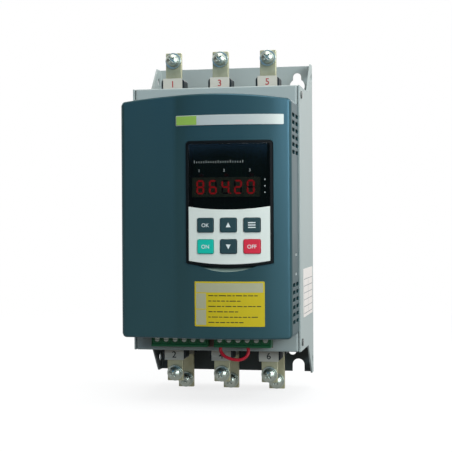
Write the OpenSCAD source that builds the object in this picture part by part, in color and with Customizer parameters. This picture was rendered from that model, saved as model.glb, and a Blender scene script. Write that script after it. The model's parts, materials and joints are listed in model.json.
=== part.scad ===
// Wall-mounted three-phase soft starter, in millimetres.
// The origin is the centre of the back plate's wall face: +X right, +Y to the wall, +Z up.

/* [Chassis] */
// Width across the side walls
chassis_w = 145; // [143:1:165]
// Height of the back plate
plate_h = 281; // [275:1:310]
// Height of the side walls and the front plate
wall_h = 225; // [220:1:240]
// Depth from the wall face to the front plate's face
wall_d = 93; // [91:1:115]
// Thickness of the sheet steel
sheet_t = 1.5; // [1:0.1:2]
// Outer radius of the sheet folds
fold_r = 2.5; // [2.2:0.1:4]
// Depth of an ear where it leaves the side wall
ear_root_d = 38; // [32:1:50]
// Depth of an ear at its outer end
ear_tip_d = 12; // [11:1:20]
// Radius of the round hole in each ear
ear_hole_r = 3.5; // [2:0.1:4]
// Distance between the two keyholes
keyhole_spacing = 117; // [112:1:120]
// Radius of a keyhole's wide end
keyhole_r = 7; // [6:0.1:8]
// Radius of a keyhole's narrow end
keyhole_slot_r = 3.8; // [3:0.1:4.5]
// Rise from a keyhole's wide end to its narrow end
keyhole_rise = 8.5; // [7:0.1:10]
// Drop from the plate's top edge to a keyhole's wide end
keyhole_drop = 18.5; // [16:0.1:22]
// Radius of the open slots at the bottom edge
foot_slot_r = 5.5; // [3:0.1:6]
// Length of the open slots to the middle of their round end
foot_slot_l = 6; // [5:0.1:9]
// Radius of the round holes above the open slots
lower_hole_r = 3.6; // [2:0.1:4]
// Depth of the front plate's folded edges
flange_d = 14; // [10:1:18]

/* [Cover] */
// Step from the chassis side to the cover side
cover_step = 1.2; // [0.5:0.1:3]
// Wall thickness of the cover
cover_t = 2.2; // [1.5:0.1:3]
// Height of the cover's highest point above the front plate
cover_rise = 52; // [48:1:65]
// Height of the cover's left edge above the front plate
facet_rise = 43.5; // [40:0.5:46]
// Radius of the bowed bay
bow_r = 170; // [160:1:220]
// Place of the bow's middle
bow_x = 16; // [10:1:24]
// Place of the crease between the flat bay and the bowed bay
crease_x = -27; // [-30:1:-26]
// Radius of the cover's upright edges
edge_r = 4; // [3:0.1:6]
// Radius of the cover's corners seen from the front
corner_r = 4; // [3:0.1:6]
// Height of the middle of the cover's arched top edge
cover_top = 101.7; // [99:0.1:104]
// Radius of the arched top edge
arch_r = 525; // [500:5:700]
// Depth of the cover's bottom edge below the middle
cover_bottom = 97.5; // [97:0.1:100]
// Length of a vent slot
vent_l = 15; // [8:0.5:17]
// Height of a vent slot
vent_h = 3.2; // [2:0.1:4]
// Distance between vent slots, up the side
vent_pitch = 6.05; // [5:0.05:7]
// Distance between the two vent columns
vent_column = 19.8; // [18:0.1:21]
// Height of the middle of a vent group
vent_z = 69.5; // [66:0.5:72]
// Vent slots in a column
vent_rows = 6; // [3:1:6]
// Length of a latch slot
latch_l = 8; // [5:0.5:10]
// Height of a latch slot
latch_h = 3; // [2:0.1:4]

/* [Operator] */
// Width of the operator
op_w = 71; // [70:0.5:74]
// Place of the operator's middle
op_x = 21.2; // [20:0.1:22]
// Height of the operator's top edge
op_top = 63; // [61:0.5:66]
// Height of the lowest point of the operator
op_bottom = -38.9; // [-40:0.1:-37]
// Radius of the operator's lower edge
op_arc_r = 200; // [150:5:300]
// Depth of the operator behind its face
op_d = 18; // [17:0.5:20]
// How far the operator stands out of the cover
op_proud = 1.2; // [0.6:0.1:2]
// Clearance around the operator
op_gap = 0.3; // [0.2:0.05:0.6]
// Width of the operator's dark frame
frame_w = 2.1; // [1.6:0.1:3]
// Thickness of the window and the keypad bezel
face_t = 2; // [1.5:0.1:2.5]
// Lowest point of the window
window_bottom = 7.4; // [6.5:0.1:9]
// Radius of the window's lower edge
window_arc_r = 210; // [150:5:300]
// Radius of the finger scoop's lower edge
scoop_r = 100; // [80:1:140]
// Lowest point of the finger scoop
scoop_bottom = -42.9; // [-45:0.1:-42]
// Slope of the finger scoop
scoop_tilt = 36; // [25:1:45]

/* [Keys] */
// Width of a key
key_w = 13.4; // [11:0.1:15]
// Height of a key
key_h = 11.3; // [9:0.1:13]
// Distance from the operator's side to the middle of the outer keys
key_edge = 16.5; // [16:0.1:17]
// Distance between key rows
key_pitch_z = 17.3; // [16.8:0.1:18]
// Height of the middle between the two key rows
keys_z = -13.7; // [-14.5:0.1:-13]
// How far a key stands out of the bezel
key_proud = 1; // [0.9:0.1:1.6]
// Clearance around a key
key_gap = 0.3; // [0.2:0.05:0.5]
// Travel of a key
key_travel = 0.8; // [0.4:0.1:0.8]

/* [Display] */
// Distance from the operator's middle to the display's middle, on its left
display_shift = 3.3; // [2.5:0.1:4]
// Height of the display's middle
display_z = 25.8; // [24:0.1:27]
// Digits
digit_count = 5; // [3:1:5]
// Distance from the operator's sides to the row of digits
digits_edge = 9.5; // [9.3:0.1:12]
// Height of a digit
digit_h = 11.4; // [9:0.1:12]
// Width of a digit
digit_w = 6.4; // [5:0.1:7]
// Width of a segment
segment_w = 1.3; // [0.8:0.1:1.6]

/* [Trim and labels] */
// Width of the trim strip
strip_w = 88.5; // [70:0.5:90]
// Height of the trim strip
strip_h = 8.2; // [6:0.1:10]
// Height of the trim strip's middle
strip_z = 80; // [78:0.1:84]
// Thickness of the trim strip
strip_t = 0.6; // [0.4:0.1:1]
// Width of the badge field at the strip's left end
badge_w = 17.5; // [10:0.5:25]
// Width of the information label
label_w = 57.3; // [40:0.1:60]
// Height of the information label
label_h = 36.4; // [30:0.1:40]
// Height of the information label's middle
label_z = -68.8; // [-70:0.1:-67]
// Thickness of the labels
label_t = 0.3; // [0.2:0.05:0.5]
// Width of the nameplate on the right wall
nameplate_w = 64; // [40:1:70]
// Height of the nameplate
nameplate_h = 41.7; // [30:0.1:50]
// Height of the nameplate's middle
nameplate_z = -64.2; // [-70:0.1:-40]

/* [Power section] */
// Distance from a side's face to the middle of the nearest phase
phase_edge = 30.5; // [30:0.5:32]
// Height of the heatsink's upper end
sink_top = 92; // [80:1:93]
// Depth of the heatsink's lower end below the middle
sink_bottom = 60; // [56:1:62]
// Clearance between the heatsink and the side walls
sink_gap = 4; // [2:0.5:4.5]
// Thickness of the heatsink's base
sink_base_t = 8; // [7:0.5:10]
// Length of the heatsink's posts
post_l = 28.5; // [26:0.5:29]
// Radius of the heatsink's posts
post_r = 5; // [4.5:0.1:5.5]
// Thickness of a fin
fin_t = 2; // [1.2:0.1:2.5]
// Distance between fins
fin_pitch = 8; // [6:0.5:12]
// Width of a thyristor module
module_w = 34; // [30:0.5:36]
// Length of a thyristor module
module_l = 94; // [92:1:96]
// Height of a thyristor module
module_h = 27; // [26:0.5:28]
// Height of a module's ends
module_end_h = 8; // [6:0.5:10]
// Outer radius of a current transformer
ct_r = 16; // [14:0.5:17]
// Inner radius of a current transformer
ct_bore_r = 9; // [8.5:0.1:10]
// Height of a current transformer
ct_h = 14; // [8:0.5:14]

/* [Terminals] */
// Width of a bar
bar_w = 14; // [12:0.1:14.4]
// Thickness of a bar
bar_t = 4; // [3:0.1:4.5]
// How far a line bar stands out above the front plate
line_out = 33.8; // [32:0.1:40]
// How far a load bar stands out below the front plate
load_out = 29.5; // [29:0.1:34]
// How far a bypass bar stands out below the front plate
bypass_out = 40.8; // [39:0.1:46]
// Distance from a bar's end to its screw
screw_edge = 7; // [6.8:0.1:8]
// Depth of a bypass bar's face in front of the wall
bypass_d = 27; // [25:0.5:28]
// Radius of a terminal screw's head
head_r = 5.3; // [4.5:0.1:6]
// Height of a terminal screw's head
head_h = 5; // [3:0.1:6]
// Radius of a terminal screw
screw_r = 3; // [2.5:0.1:3.1]
// Radius of the holes for the terminal screws
bar_hole_r = 3.3; // [3.2:0.1:3.6]
// Radius of a flat washer
washer_r = 7; // [6.2:0.1:7.1]
// Thickness of a flat washer
washer_t = 1.6; // [1:0.1:2]
// Radius of a spring washer
spring_r = 5.5; // [5:0.1:6]
// Thickness of a spring washer
spring_t = 2; // [1.2:0.1:2.4]
// Width of a nut across its flats
nut_af = 10; // [9:0.1:11]
// Height of a nut
nut_h = 5; // [4:0.1:6]
// Width of an insulator block
block_w = 20.6; // [18.5:0.1:23]
// Height of an insulator block above its rail
block_h = 11.8; // [8:0.1:12]
// Height of an insulator rail
rail_h = 11.5; // [9:0.1:12.5]
// Width of a terminal label
tag_w = 17.2; // [14:0.1:18.4]
// Height of a terminal label
tag_h = 12; // [9:0.1:12.5]

/* [Control terminals] */
// Poles in a block
poles = 6; // [3:1:6]
// Distance between poles
pole_pitch = 7.8; // [7:0.1:8]
// Height of a block
block_z_h = 12; // [11:0.5:13]
// Depth of a block
block_y_d = 10; // [9:0.5:12]
// Place of the left block's middle
left_block_x = -28.8; // [-30:0.1:-28]
// Place of the right block's middle
right_block_x = 25.3; // [25:0.1:26]
// Radius of a terminal block's screw
pole_screw_r = 2.3; // [1.8:0.1:2.4]
// Side of a wire entry
wire_entry = 3.6; // [3.2:0.1:3.9]
// Height of the supports under the control board
support_h = 4.4; // [3:0.1:6]
// Thickness of the boards
pcb_t = 1.6; // [1:0.1:2]

/* [Hidden] */
$fn = 64;
smooth = 256;
cut = 1;
far = 400;
fit = 0.1;
seat = 0.05;
// Reach of a cutter on either side of a wall.
through = 3;
half_w = chassis_w / 2;
phase_pitch = half_w - phase_edge;
half_plate = plate_h / 2;
half_wall = wall_h / 2;
inner_half = half_w - sheet_t;
keyhole_z = half_plate - keyhole_drop;
foot_slot_z = -half_plate + foot_slot_l;
lower_hole_inset = 5.5;
lower_hole_gap = 3.6;
lower_hole_x = keyhole_spacing / 2 - lower_hole_inset;
lower_hole_z = foot_slot_z + foot_slot_r + lower_hole_r + lower_hole_gap;
ear_hole_y = 8;
ear_hole_drop = 12;
ear_hole_z = half_plate - ear_hole_drop;

// Depths in front of the wall, from the back plate to the front of the bars.
sink_back = sheet_t + post_l;
sink_face = sink_back + sink_base_t;
bar_back = sink_face + module_h;
bar_face = bar_back + bar_t;
plate_back = wall_d - sheet_t;
line_end = half_wall + line_out;
load_end = half_wall + load_out;
bypass_end = half_wall + bypass_out;
stack_t = washer_t + spring_t + 2 * seat;

// Insulator rails sit between the front plate's folded edges.
plate_half = inner_half - fit;
rail_half = plate_half - sheet_t - fit;
rail_top = half_wall - sheet_t - fit;
rail_wall = 7;
rail_gap = 3.5;
rail_back = bar_back - rail_wall;
rail_face = plate_back - rail_gap;
block_wall = 3.5;
block_face = bar_face + block_wall;
block_r = 2.5;
block_root = 4;
wall_screw_inset = 5;
wall_screw_y = rail_face - wall_screw_inset;
wall_screw_z = rail_top - rail_h / 2;
wall_screw_r = 2;
wall_screw_l = 10;
wall_head_r = 3.2;
wall_head_t = 1;
tag_t = 0.6;
tag_lap = 1;
tag_z = half_wall - tag_lap + tag_h / 2;

// Opening in the front plate for leads between the boards and the modules.
duct_half = 40;
duct_top = 0;
duct_bottom = -30;

// Cover.
cover_half = half_w - cover_step;
cover_d = wall_d + cover_rise;
bow_cy = bow_r - cover_d;
facet_d = wall_d + facet_rise;
facet_slope = atan2(facet_d - bow_depth(crease_x), crease_x + cover_half);
lap = 6;
vent_front = 30.2;
vent_y = wall_d + vent_front - vent_column / 2;
latch_rise = 17;
latch_y = wall_d + latch_rise;
latch_z = [-30, -46];
latch_gap = 0.3;
lug_h = 8;
lug_x = cover_half - cover_t - fit;
strip_r = 0.6;
badge_inset = 0.5;
label_r = 0.8;
nameplate_r = 1;
nameplate_y = 42;

// Operator.
op_face = cover_d + op_proud;
op_back = op_face - op_d;
op_wall = 1.8;
op_corner_r = 3;
ledge_w = 1.2;
floor_t = 2.2;
scoop_floor = 4;
scoop_lip = 6;
scoop_back = 9;
scoop_reach = 20;
key_columns = [-1, 0, 1];
key_pitch_x = op_w / 2 - key_edge;
key_rows = [-1, 1];
key_r = 1.2;
key_flange = 1;
key_d = 7.2;
key_back = op_face - key_d;
op_boss_h = 3;
op_boss_r = 2.5;
op_boss_inset = 4;
op_board_face = op_back + op_wall + op_boss_h;
op_board_inset = frame_w + ledge_w + op_gap;
op_board_x = op_w / 2 - op_board_inset;
op_board_top = op_top - op_board_inset;
op_board_lift = 9;
op_board_bottom = op_bottom + op_board_lift;
switch_w = 6;
switch_h = 3.5;
plunger_r = 1.7;
plunger_gap = 0.4;
plunger_h = key_back - key_travel - plunger_gap - op_board_face - switch_h;
display_x = op_x - display_shift;
digit_pitch = (op_w - 2 * digits_edge) / digit_count;
display_d = 7.6;
display_margin_x = 1.8;
display_margin_z = 2.3;
display_face = op_board_face + display_d;
segment_t = 0.3;
segment_gap = 0.25;
point_r = 0.55;
point_x = 1.6;
lamp_rise = 9.7;
lamp_z = display_z + lamp_rise;
lamp_r = 1.5;
lamp_pitch = 2 * digit_pitch;
plug_w = 12;
plug_h = 7;
plug_l = 9;
plug_z = 40;
plug_gap = 1;
socket_wall = 2.2;
socket_drop = 1.6;
socket_face = op_back - op_gap - floor_t - socket_drop;

// Control board.
board_back = wall_d + support_h;
board_face = board_back + pcb_t;
board_left = -60;
board_right = 56;
board_top = 74;
board_edge = 4;
board_bottom = -half_wall + board_edge;
board_gap = 1;
support_r = 2.5;
support_pin_r = 1.4;
support_head_r = 2;
support_head_h = 1.5;
support_inset = 5;
support_x = [board_left + support_inset, board_right - support_inset];
support_middle = -12;
support_rise = 12;
support_z = [board_top - support_inset, support_middle, support_rise - cover_bottom];
term_lift = 0.8;
term_wall = 0.8;
term_low = board_bottom + term_lift;
term_top = term_low + block_z_h;
term_w = poles * pole_pitch + 2 * term_wall;
term_face = board_face + block_y_d;
term_gap = 2;
tongue_left = left_block_x - term_w / 2;
tongue_right = right_block_x + term_w / 2;
tongue_top = cover_t + board_gap - cover_bottom;
term_chamfer_y = 2;
term_chamfer_z = 1.5;
term_nose_t = 0.8;
term_nose_h = 2.5;
term_screw_drop = 5.9;
term_screw_z = term_top - term_screw_drop;
well_d = 4;
pole_screw_h = 3;
pole_slot_w = 0.7;
pole_slot_d = 1;
entry_y = 3.2;
entry_l = 4;
groove_w = 0.6;
groove_d = 0.7;

// Parts on the control board: sizes and places.
relay_w = 19;
relay_h = 15.5;
relay_d = 15.5;
relay_x = [-46, -22, 2];
relay_z = -75.25;
pulse_w = 13;
pulse_d = 11;
pulse_x = [18, 34, 50];
pulse_z = -75.5;
supply_x = -41;
supply_z = 38;
core_w = 38;
core_h = 22;
core_d = 27;
coil_w = 26;
coil_h = 34;
coil_d = 24;

// Heatsink, posts, modules and their screws.
sink_half = inner_half - sink_gap;
post_edge = 1;
post_x = sink_half - post_r - post_edge;
post_inset = 8;
post_z = [sink_top - post_inset, -sink_bottom + post_inset];
post_tap = 12;
fin_half = post_x - post_r - post_edge;
fin_count = floor(2 * (fin_half - fin_t / 2) / fin_pitch) + 1;
fin_gap = 2.5;
m5_r = 2.5;
m5_head_r = 4.6;
m5_head_h = 3;
m5_key_r = 2.1;
m5_grip = 10;
module_inset = 7;
module_hole_z = module_l / 2 - module_inset;
module_tap = 6;
module_grip = 5;
module_end_l = 15;
module_body = module_l / 2 - module_end_l;
module_base_t = 3;
module_step = 5;
module_draft = 1;
tower_z = 21;
tower_h = 18;
tower_edge = 1.5;
tower_tap = 12;
bar_root = 12;
bar_corner_r = 0.8;

// Bypass bar.
bypass_back = bypass_d - bar_t;
tab_gap = 5;
tab_top = -module_l / 2 - tab_gap;
tab_bottom = tab_top - bar_w;
tab_z = (tab_top + tab_bottom) / 2;
bend_r = 5;
foot_edge = 1;

// Terminal screws.
tail_l = 2;
dome_r = 8;
recess_l = 5.8;
recess_w = 1.2;
recess_d = 2;
spring_slit = 1;
spring_turn = 200;

// Jumper wire between two poles of the right block, as chosen points.
jumper_r = 1.4;
jumper_sides = 8;
jumper_points = [
    [5.8, -104, -105.5], [5.8, -104, -107.6], [5.8, -104.1, -109.6], [6.1, -104.5, -111.5],
    [7.1, -105.1, -113.3], [8.8, -105.7, -114.9], [11, -106.3, -116.2], [13.6, -106.7, -117.2],
    [16.5, -107, -117.9], [19.5, -107.1, -118.3], [22.4, -107, -118.2], [25, -106.7, -117.5],
    [27.2, -106.2, -116.2], [28.8, -105.6, -114.5], [29.6, -104.9, -112.7], [29.7, -104.4, -110.9],
    [29.4, -104.1, -109.2], [29.2, -104, -107.6], [29.2, -104, -105.5]];

steel_grey = [0.74, 0.77, 0.76];
slate = [0.14, 0.22, 0.25];
black = [0.05, 0.06, 0.07];
pale = [0.78, 0.8, 0.77];
board_green = [0.1, 0.32, 0.2];
zinc = [0.72, 0.73, 0.7];
tinned = [0.62, 0.6, 0.5];
dark_key = [0.18, 0.27, 0.29];
green_key = [0.1, 0.7, 0.64];
red_key = [0.8, 0.2, 0.28];

// Place of a phase, counted from 1.
function phase_x(k) = (k - 2) * phase_pitch;

// Depth of the bowed bay's face at x, raised outwards by g.
function bow_depth(x, g = 0) = sqrt(pow(bow_r + g, 2) - pow(x - bow_x, 2)) - bow_cy;

// Place of a pole in a terminal block.
function pole_x(middle, k) = middle + (k - (poles - 1) / 2) * pole_pitch;

// Shapes drawn in X and Z, from depth d0 out to depth d1 in front of the wall.
module slab_y(d0, d1)
    translate([0, -d0, 0]) rotate([90, 0, 0]) linear_extrude(d1 - d0) children();

// Shapes drawn in Y and Z, from x0 to x1.
module slab_x(x0, x1)
    translate([x0, 0, 0]) rotate([90, 0, 90]) linear_extrude(x1 - x0) children();

// A round bar along Y, from depth d0 to depth d1.
module rod_y(x, z, r, d0, d1)
    translate([x, -d0, z]) rotate([90, 0, 0]) cylinder(r = r, h = d1 - d0);

// A round bar along X.
module rod_x(x0, x1, y, z, r)
    translate([x0, y, z]) rotate([0, 90, 0]) cylinder(r = r, h = x1 - x0);

// A cutter along X through a wall at x.
module hole_x(x, y, z, r)
    rod_x(x - through, x + through, y, z, r);

// A box between two corners, with depths counted in front of the wall.
module block(x0, x1, d0, d1, z0, z1)
    translate([x0, -d1, z0]) cube([x1 - x0, d1 - d0, z1 - z0]);

// A rectangle with round corners, about its middle.
module round_rect(w, h, r) {
    square([w - 2 * r, h], center = true);
    square([w, h - 2 * r], center = true);
    for (sx = [-1, 1], sz = [-1, 1])
        translate([sx * (w / 2 - r), sz * (h / 2 - r)]) circle(r);
}

// A layer of the bowed bay between two heights over its face.
module bow_layer(g_out, g_in)
    translate([bow_x, bow_cy, -far / 2]) difference() {
        cylinder(r = bow_r + g_out, h = far, $fn = smooth);
        translate([0, 0, -cut]) cylinder(r = bow_r + g_in, h = far + 2 * cut, $fn = smooth);
    }

// Everything behind a height over the bowed bay's face.
module bow_solid(g)
    translate([bow_x, bow_cy, -far / 2]) cylinder(r = bow_r + g, h = far, $fn = smooth);

// Back chassis: one folded sheet.
module fold_section(inset) {
    r = fold_r - inset;
    w = half_w - inset;
    translate([-w, -wall_d - inset]) square([2 * w, wall_d - r]);
    translate([-w + r, -inset - r - cut]) square([2 * (w - r), r + cut]);
    for (s = [-1, 1])
        translate([s * (w - r), -inset - r]) circle(r);
}

module ear_cut() {
    polygon([
        [-wall_d - cut, half_wall], [-ear_root_d, half_wall], [-ear_tip_d, half_plate],
        [-ear_tip_d, half_plate + cut], [-wall_d - cut, half_plate + cut]]);
}

module keyhole() {
    circle(keyhole_r);
    translate([0, keyhole_rise]) circle(keyhole_slot_r);
    translate([-keyhole_slot_r, 0]) square([2 * keyhole_slot_r, keyhole_rise]);
}

module foot_slot() {
    circle(foot_slot_r);
    translate([-foot_slot_r, -foot_slot_l - cut]) square([2 * foot_slot_r, foot_slot_l + cut]);
}

module back_chassis() {
    color(steel_grey) difference() {
        translate([0, 0, -half_plate]) linear_extrude(plate_h) difference() {
            fold_section(0);
            fold_section(sheet_t);
        }
        for (s = [0, 1])
            mirror([0, 0, s]) slab_x(-half_w - cut, half_w + cut) ear_cut();
        for (s = [-1, 1]) {
            slab_y(-cut, sheet_t + cut) translate([s * keyhole_spacing / 2, keyhole_z]) keyhole();
            slab_y(-cut, sheet_t + cut) translate([s * keyhole_spacing / 2, foot_slot_z]) foot_slot();
            rod_y(s * lower_hole_x, lower_hole_z, lower_hole_r, -cut, sheet_t + cut);
            for (e = [-1, 1]) {
                hole_x(s * half_w, -ear_hole_y, e * ear_hole_z, ear_hole_r);
                hole_x(s * half_w, -wall_screw_y, e * wall_screw_z, wall_screw_r + fit);
            }
        }
    }
}

// Front plate: a folded tray with lugs that hold the cover.
module tray_section(inset) {
    r = fold_r - inset;
    w = plate_half - inset;
    y = -wall_d + inset;
    translate([-w, y + r]) square([2 * w, flange_d - r]);
    translate([-w + r, y]) square([2 * (w - r), r + cut]);
    for (s = [-1, 1])
        translate([s * (w - r), y + r]) circle(r);
}

module cover_lug(s, z) {
    x0 = lug_x - sheet_t;
    mirror([s < 0 ? 1 : 0, 0, 0]) {
        block(x0, lug_x, wall_d - sheet_t, latch_y + latch_l / 2, z - lug_h / 2, z + lug_h / 2);
        block(x0, cover_half - fit, latch_y - latch_l / 2 + latch_gap, latch_y + latch_l / 2 - latch_gap,
            z - latch_h / 2 + latch_gap, z + latch_h / 2 - latch_gap);
    }
}

module front_plate() {
    color(steel_grey) difference() {
        union() {
            translate([0, 0, -half_wall]) linear_extrude(wall_h) difference() {
                tray_section(0);
                tray_section(sheet_t);
            }
            for (s = [0, 1])
                mirror([0, 0, s]) block(-plate_half + sheet_t, plate_half - sheet_t, wall_d - flange_d / 2,
                    wall_d - sheet_t, half_wall - sheet_t, half_wall);
            for (s = [-1, 1], z = latch_z)
                cover_lug(s, z);
        }
        block(-duct_half, duct_half, plate_back - cut, wall_d + cut, duct_bottom, duct_top);
        for (s = [-1, 1], e = [-1, 1])
            hole_x(s * plate_half, -wall_screw_y, e * wall_screw_z, wall_screw_r + fit);
    }
}

// Screws through the side walls and the front plate's folds into the insulator rails.
module chassis_screws() {
    color(zinc) for (s = [0, 1], e = [-1, 1])
        mirror([s, 0, 0]) {
            rod_x(half_w - wall_screw_l, half_w, -wall_screw_y, e * wall_screw_z, wall_screw_r);
            rod_x(half_w, half_w + wall_head_t, -wall_screw_y, e * wall_screw_z, wall_head_r);
        }
}

// Front cover. Seen from above, a bowed bay on the right and a flat bay on the left meet at a crease.

// Y of the flat bay's face at x, drawn in by an inset.
function facet_y(x, inset) = (inset + (x + cover_half) * sin(facet_slope)) / cos(facet_slope) - facet_d;

module bow_bay(inset, x_end, back)
    intersection() {
        translate([bow_x, bow_cy]) circle(bow_r - inset, $fn = smooth);
        translate([crease_x - lap, -2 * cover_d]) square([x_end - crease_x + lap, 2 * cover_d - back]);
    }

module cover_plan() {
    r = edge_r;
    xs = cover_half - r;
    // Right edge: a round that runs into the bow at a tangent point.
    ys = bow_cy - sqrt(pow(bow_r - r, 2) - pow(xs - bow_x, 2));
    bow_bay(0, bow_x + (xs - bow_x) * bow_r / (bow_r - r), wall_d);
    translate([xs, ys]) circle(r);
    translate([xs, ys]) square([r, -wall_d - ys]);
    // Left edge: a round that runs into the flat bay.
    y = facet_y(-xs, r);
    tangent = [-xs + r * sin(facet_slope), y - r * cos(facet_slope)];
    polygon([tangent, [crease_x + lap, facet_y(crease_x + lap, 0)], [crease_x + lap, -wall_d],
        [-cover_half, -wall_d], [-cover_half, y]]);
    translate([-xs, y]) circle(r);
}

module cover_plan_inside() {
    half = cover_half - cover_t;
    back = wall_d - cut;
    bow_bay(cover_t, half, back);
    polygon([[-half, facet_y(-half, cover_t)], [crease_x + lap, facet_y(crease_x + lap, cover_t)],
        [crease_x + lap, -back], [-half, -back]]);
}

// Seen from the front, a straight bottom edge and an arched top edge.
module arch(inset, half, bottom)
    intersection() {
        translate([0, cover_top - arch_r]) circle(arch_r - inset, $fn = 4 * smooth);
        translate([-half, bottom]) square([2 * half, 2 * cover_top]);
    }

module cover_outline() {
    r = corner_r;
    xs = cover_half - r;
    zs = cover_top - arch_r + sqrt(pow(arch_r - r, 2) - pow(xs, 2));
    low = -cover_bottom + r;
    arch(0, xs * arch_r / (arch_r - r), low);
    translate([-cover_half, low]) square([2 * cover_half, zs - low]);
    translate([-xs, -cover_bottom]) square([2 * xs, r + cut]);
    for (s = [-1, 1], z = [zs, low])
        translate([s * xs, z]) circle(r);
}

module cover_solid()
    intersection() {
        translate([0, 0, -far / 2]) linear_extrude(far) cover_plan();
        slab_y(0, far) cover_outline();
    }

module cover_hollow()
    intersection() {
        translate([0, 0, -far / 2]) linear_extrude(far) cover_plan_inside();
        slab_y(0, far) arch(cover_t, cover_half - cover_t, -cover_bottom + cover_t);
    }

module vent_slot()
    round_rect(vent_l, vent_h, vent_h / 2 - fit);

module vent_pattern()
    for (c = [-1, 1], e = [-1, 1], k = [0 : vent_rows - 1])
        translate([-vent_y + c * vent_column / 2, e * vent_z + (k - (vent_rows - 1) / 2) * vent_pitch])
            vent_slot();

module operator_outline(g) {
    intersection() {
        translate([op_x, op_top - op_w]) round_rect(op_w + 2 * g, 2 * op_w + 2 * g, op_corner_r + g / 2);
        translate([op_x, op_bottom + op_arc_r]) circle(op_arc_r + g, $fn = smooth);
    }
}

module finger_scoop() {
    edge_d = bow_depth(op_x);
    translate([op_x, -edge_d, scoop_bottom]) rotate([90 + scoop_tilt, 0, 0])
        translate([0, scoop_r, -scoop_back]) cylinder(r = scoop_r, h = scoop_reach, $fn = smooth);
}

// The operator's plug, grown by g on its four sides.
module plug_block(g, d0, d1)
    slab_y(d0, d1) translate([op_x, plug_z]) square([plug_w + 2 * g, plug_h + 2 * g], center = true);

module front_cover() {
    pocket = op_gap + floor_t;
    color(slate) difference() {
        union() {
            difference() {
                cover_solid();
                cover_hollow();
            }
            intersection() {
                cover_solid();
                slab_y(op_back - op_gap - floor_t, far) operator_outline(pocket);
            }
        }
        slab_y(op_back - op_gap, far) operator_outline(op_gap);
        intersection() {
            finger_scoop();
            block(op_x - op_w / 2, op_x + op_w / 2, op_back + scoop_floor, far,
                scoop_bottom - cut, op_bottom + scoop_lip);
        }
        plug_block(plug_gap, socket_face - cut, far);
        for (s = [-1, 1]) {
            slab_x(s * cover_half - through, s * cover_half + through) vent_pattern();
            for (z = latch_z)
                block(s * cover_half - through, s * cover_half + through,
                    latch_y - latch_l / 2, latch_y + latch_l / 2, z - latch_h / 2, z + latch_h / 2);
        }
        block(tongue_left - term_gap, tongue_right + term_gap, wall_d - cut, term_face + term_gap,
            -cover_bottom - cut, -cover_bottom + cover_t + cut);
    }
}

// Thin trim on the bowed bay: its outline in X and Z, from height g_in over the bay's face to g_out.
module on_bow(g_in, g_out)
    intersection() {
        bow_layer(g_out, g_in);
        slab_y(wall_d, far) children();
    }

module trim_strip()
    color([0.78, 0.8, 0.76]) on_bow(seat, strip_t)
        translate([op_x, strip_z]) round_rect(strip_w, strip_h, strip_r);

module trim_badge()
    color([0.45, 0.62, 0.28]) on_bow(strip_t + seat, strip_t + label_t)
        translate([op_x - strip_w / 2 + badge_w / 2 + badge_inset, strip_z])
            square([badge_w, strip_h - 2 * badge_inset], center = true);

module info_label()
    color([0.78, 0.7, 0.15]) on_bow(seat, label_t)
        translate([op_x, label_z]) round_rect(label_w, label_h, label_r);

module side_label()
    color([0.93, 0.91, 0.88]) slab_x(half_w, half_w + label_t)
        translate([-nameplate_y, nameplate_z]) round_rect(nameplate_w, nameplate_h, nameplate_r);

// Operator.
module operator_housing() {
    inner = -frame_w - ledge_w;
    color(black) difference() {
        union() {
            difference() {
                intersection() {
                    slab_y(op_back, far) operator_outline(0);
                    bow_solid(op_proud);
                }
                slab_y(op_back + op_wall, far) operator_outline(inner);
                difference() {
                    slab_y(op_back + op_wall, far) operator_outline(-frame_w);
                    bow_solid(op_proud - face_t);
                }
            }
            for (s = [-1, 1], z = [op_board_top - op_boss_inset, op_board_bottom + op_boss_inset])
                rod_y(op_x + s * (op_board_x - op_boss_inset), z, op_boss_r,
                    op_back + op_wall / 2, op_board_face - pcb_t);
        }
        plug_block(fit, op_back - cut, op_back + op_wall + cut);
    }
}

module window_zone(g)
    translate([op_x, window_bottom + window_arc_r]) circle(window_arc_r + g, $fn = smooth);

module operator_window()
    color([0.04, 0.06, 0.07]) intersection() {
        bow_layer(op_proud, op_proud - face_t);
        slab_y(op_back, far) intersection() {
            operator_outline(-frame_w - fit);
            window_zone(-fit);
        }
    }

module key_place(column, row)
    translate([op_x + column * key_pitch_x, keys_z + row * key_pitch_z / 2]) children();

module operator_bezel()
    color(pale) intersection() {
        bow_layer(op_proud, op_proud - face_t);
        slab_y(op_back, far) difference() {
            operator_outline(-frame_w - fit);
            window_zone(0);
            for (c = key_columns, r = key_rows)
                key_place(c, r) round_rect(key_w + 2 * key_gap, key_h + 2 * key_gap, key_r + key_gap);
        }
    }

// A key: its cap, and the flange that holds it behind the bezel.
module key(column, row, tint)
    color(tint) {
        intersection() {
            bow_solid(op_proud + key_proud);
            slab_y(key_back, far) key_place(column, row) round_rect(key_w, key_h, key_r);
        }
        intersection() {
            bow_solid(op_proud - face_t - key_gap);
            slab_y(key_back, far) key_place(column, row)
                square([key_w + 2 * key_flange, key_h + 2 * key_flange], center = true);
        }
    }

module operator_board()
    color(board_green) block(op_x - op_board_x, op_x + op_board_x, op_board_face - pcb_t, op_board_face,
        op_board_bottom, op_board_top);

module key_switches()
    color([0.2, 0.2, 0.2]) for (c = key_columns, r = key_rows) {
        slab_y(op_board_face, op_board_face + switch_h) key_place(c, r) square(switch_w, center = true);
        slab_y(op_board_face + switch_h, op_board_face + switch_h + plunger_h)
            key_place(c, r) circle(plunger_r);
    }

module led_display() {
    w = digit_count * digit_pitch + 2 * display_margin_x;
    h = digit_h + 2 * display_margin_z;
    color(black) slab_y(op_board_face, display_face)
        translate([display_x, display_z]) square([w, h], center = true);
}

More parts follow.
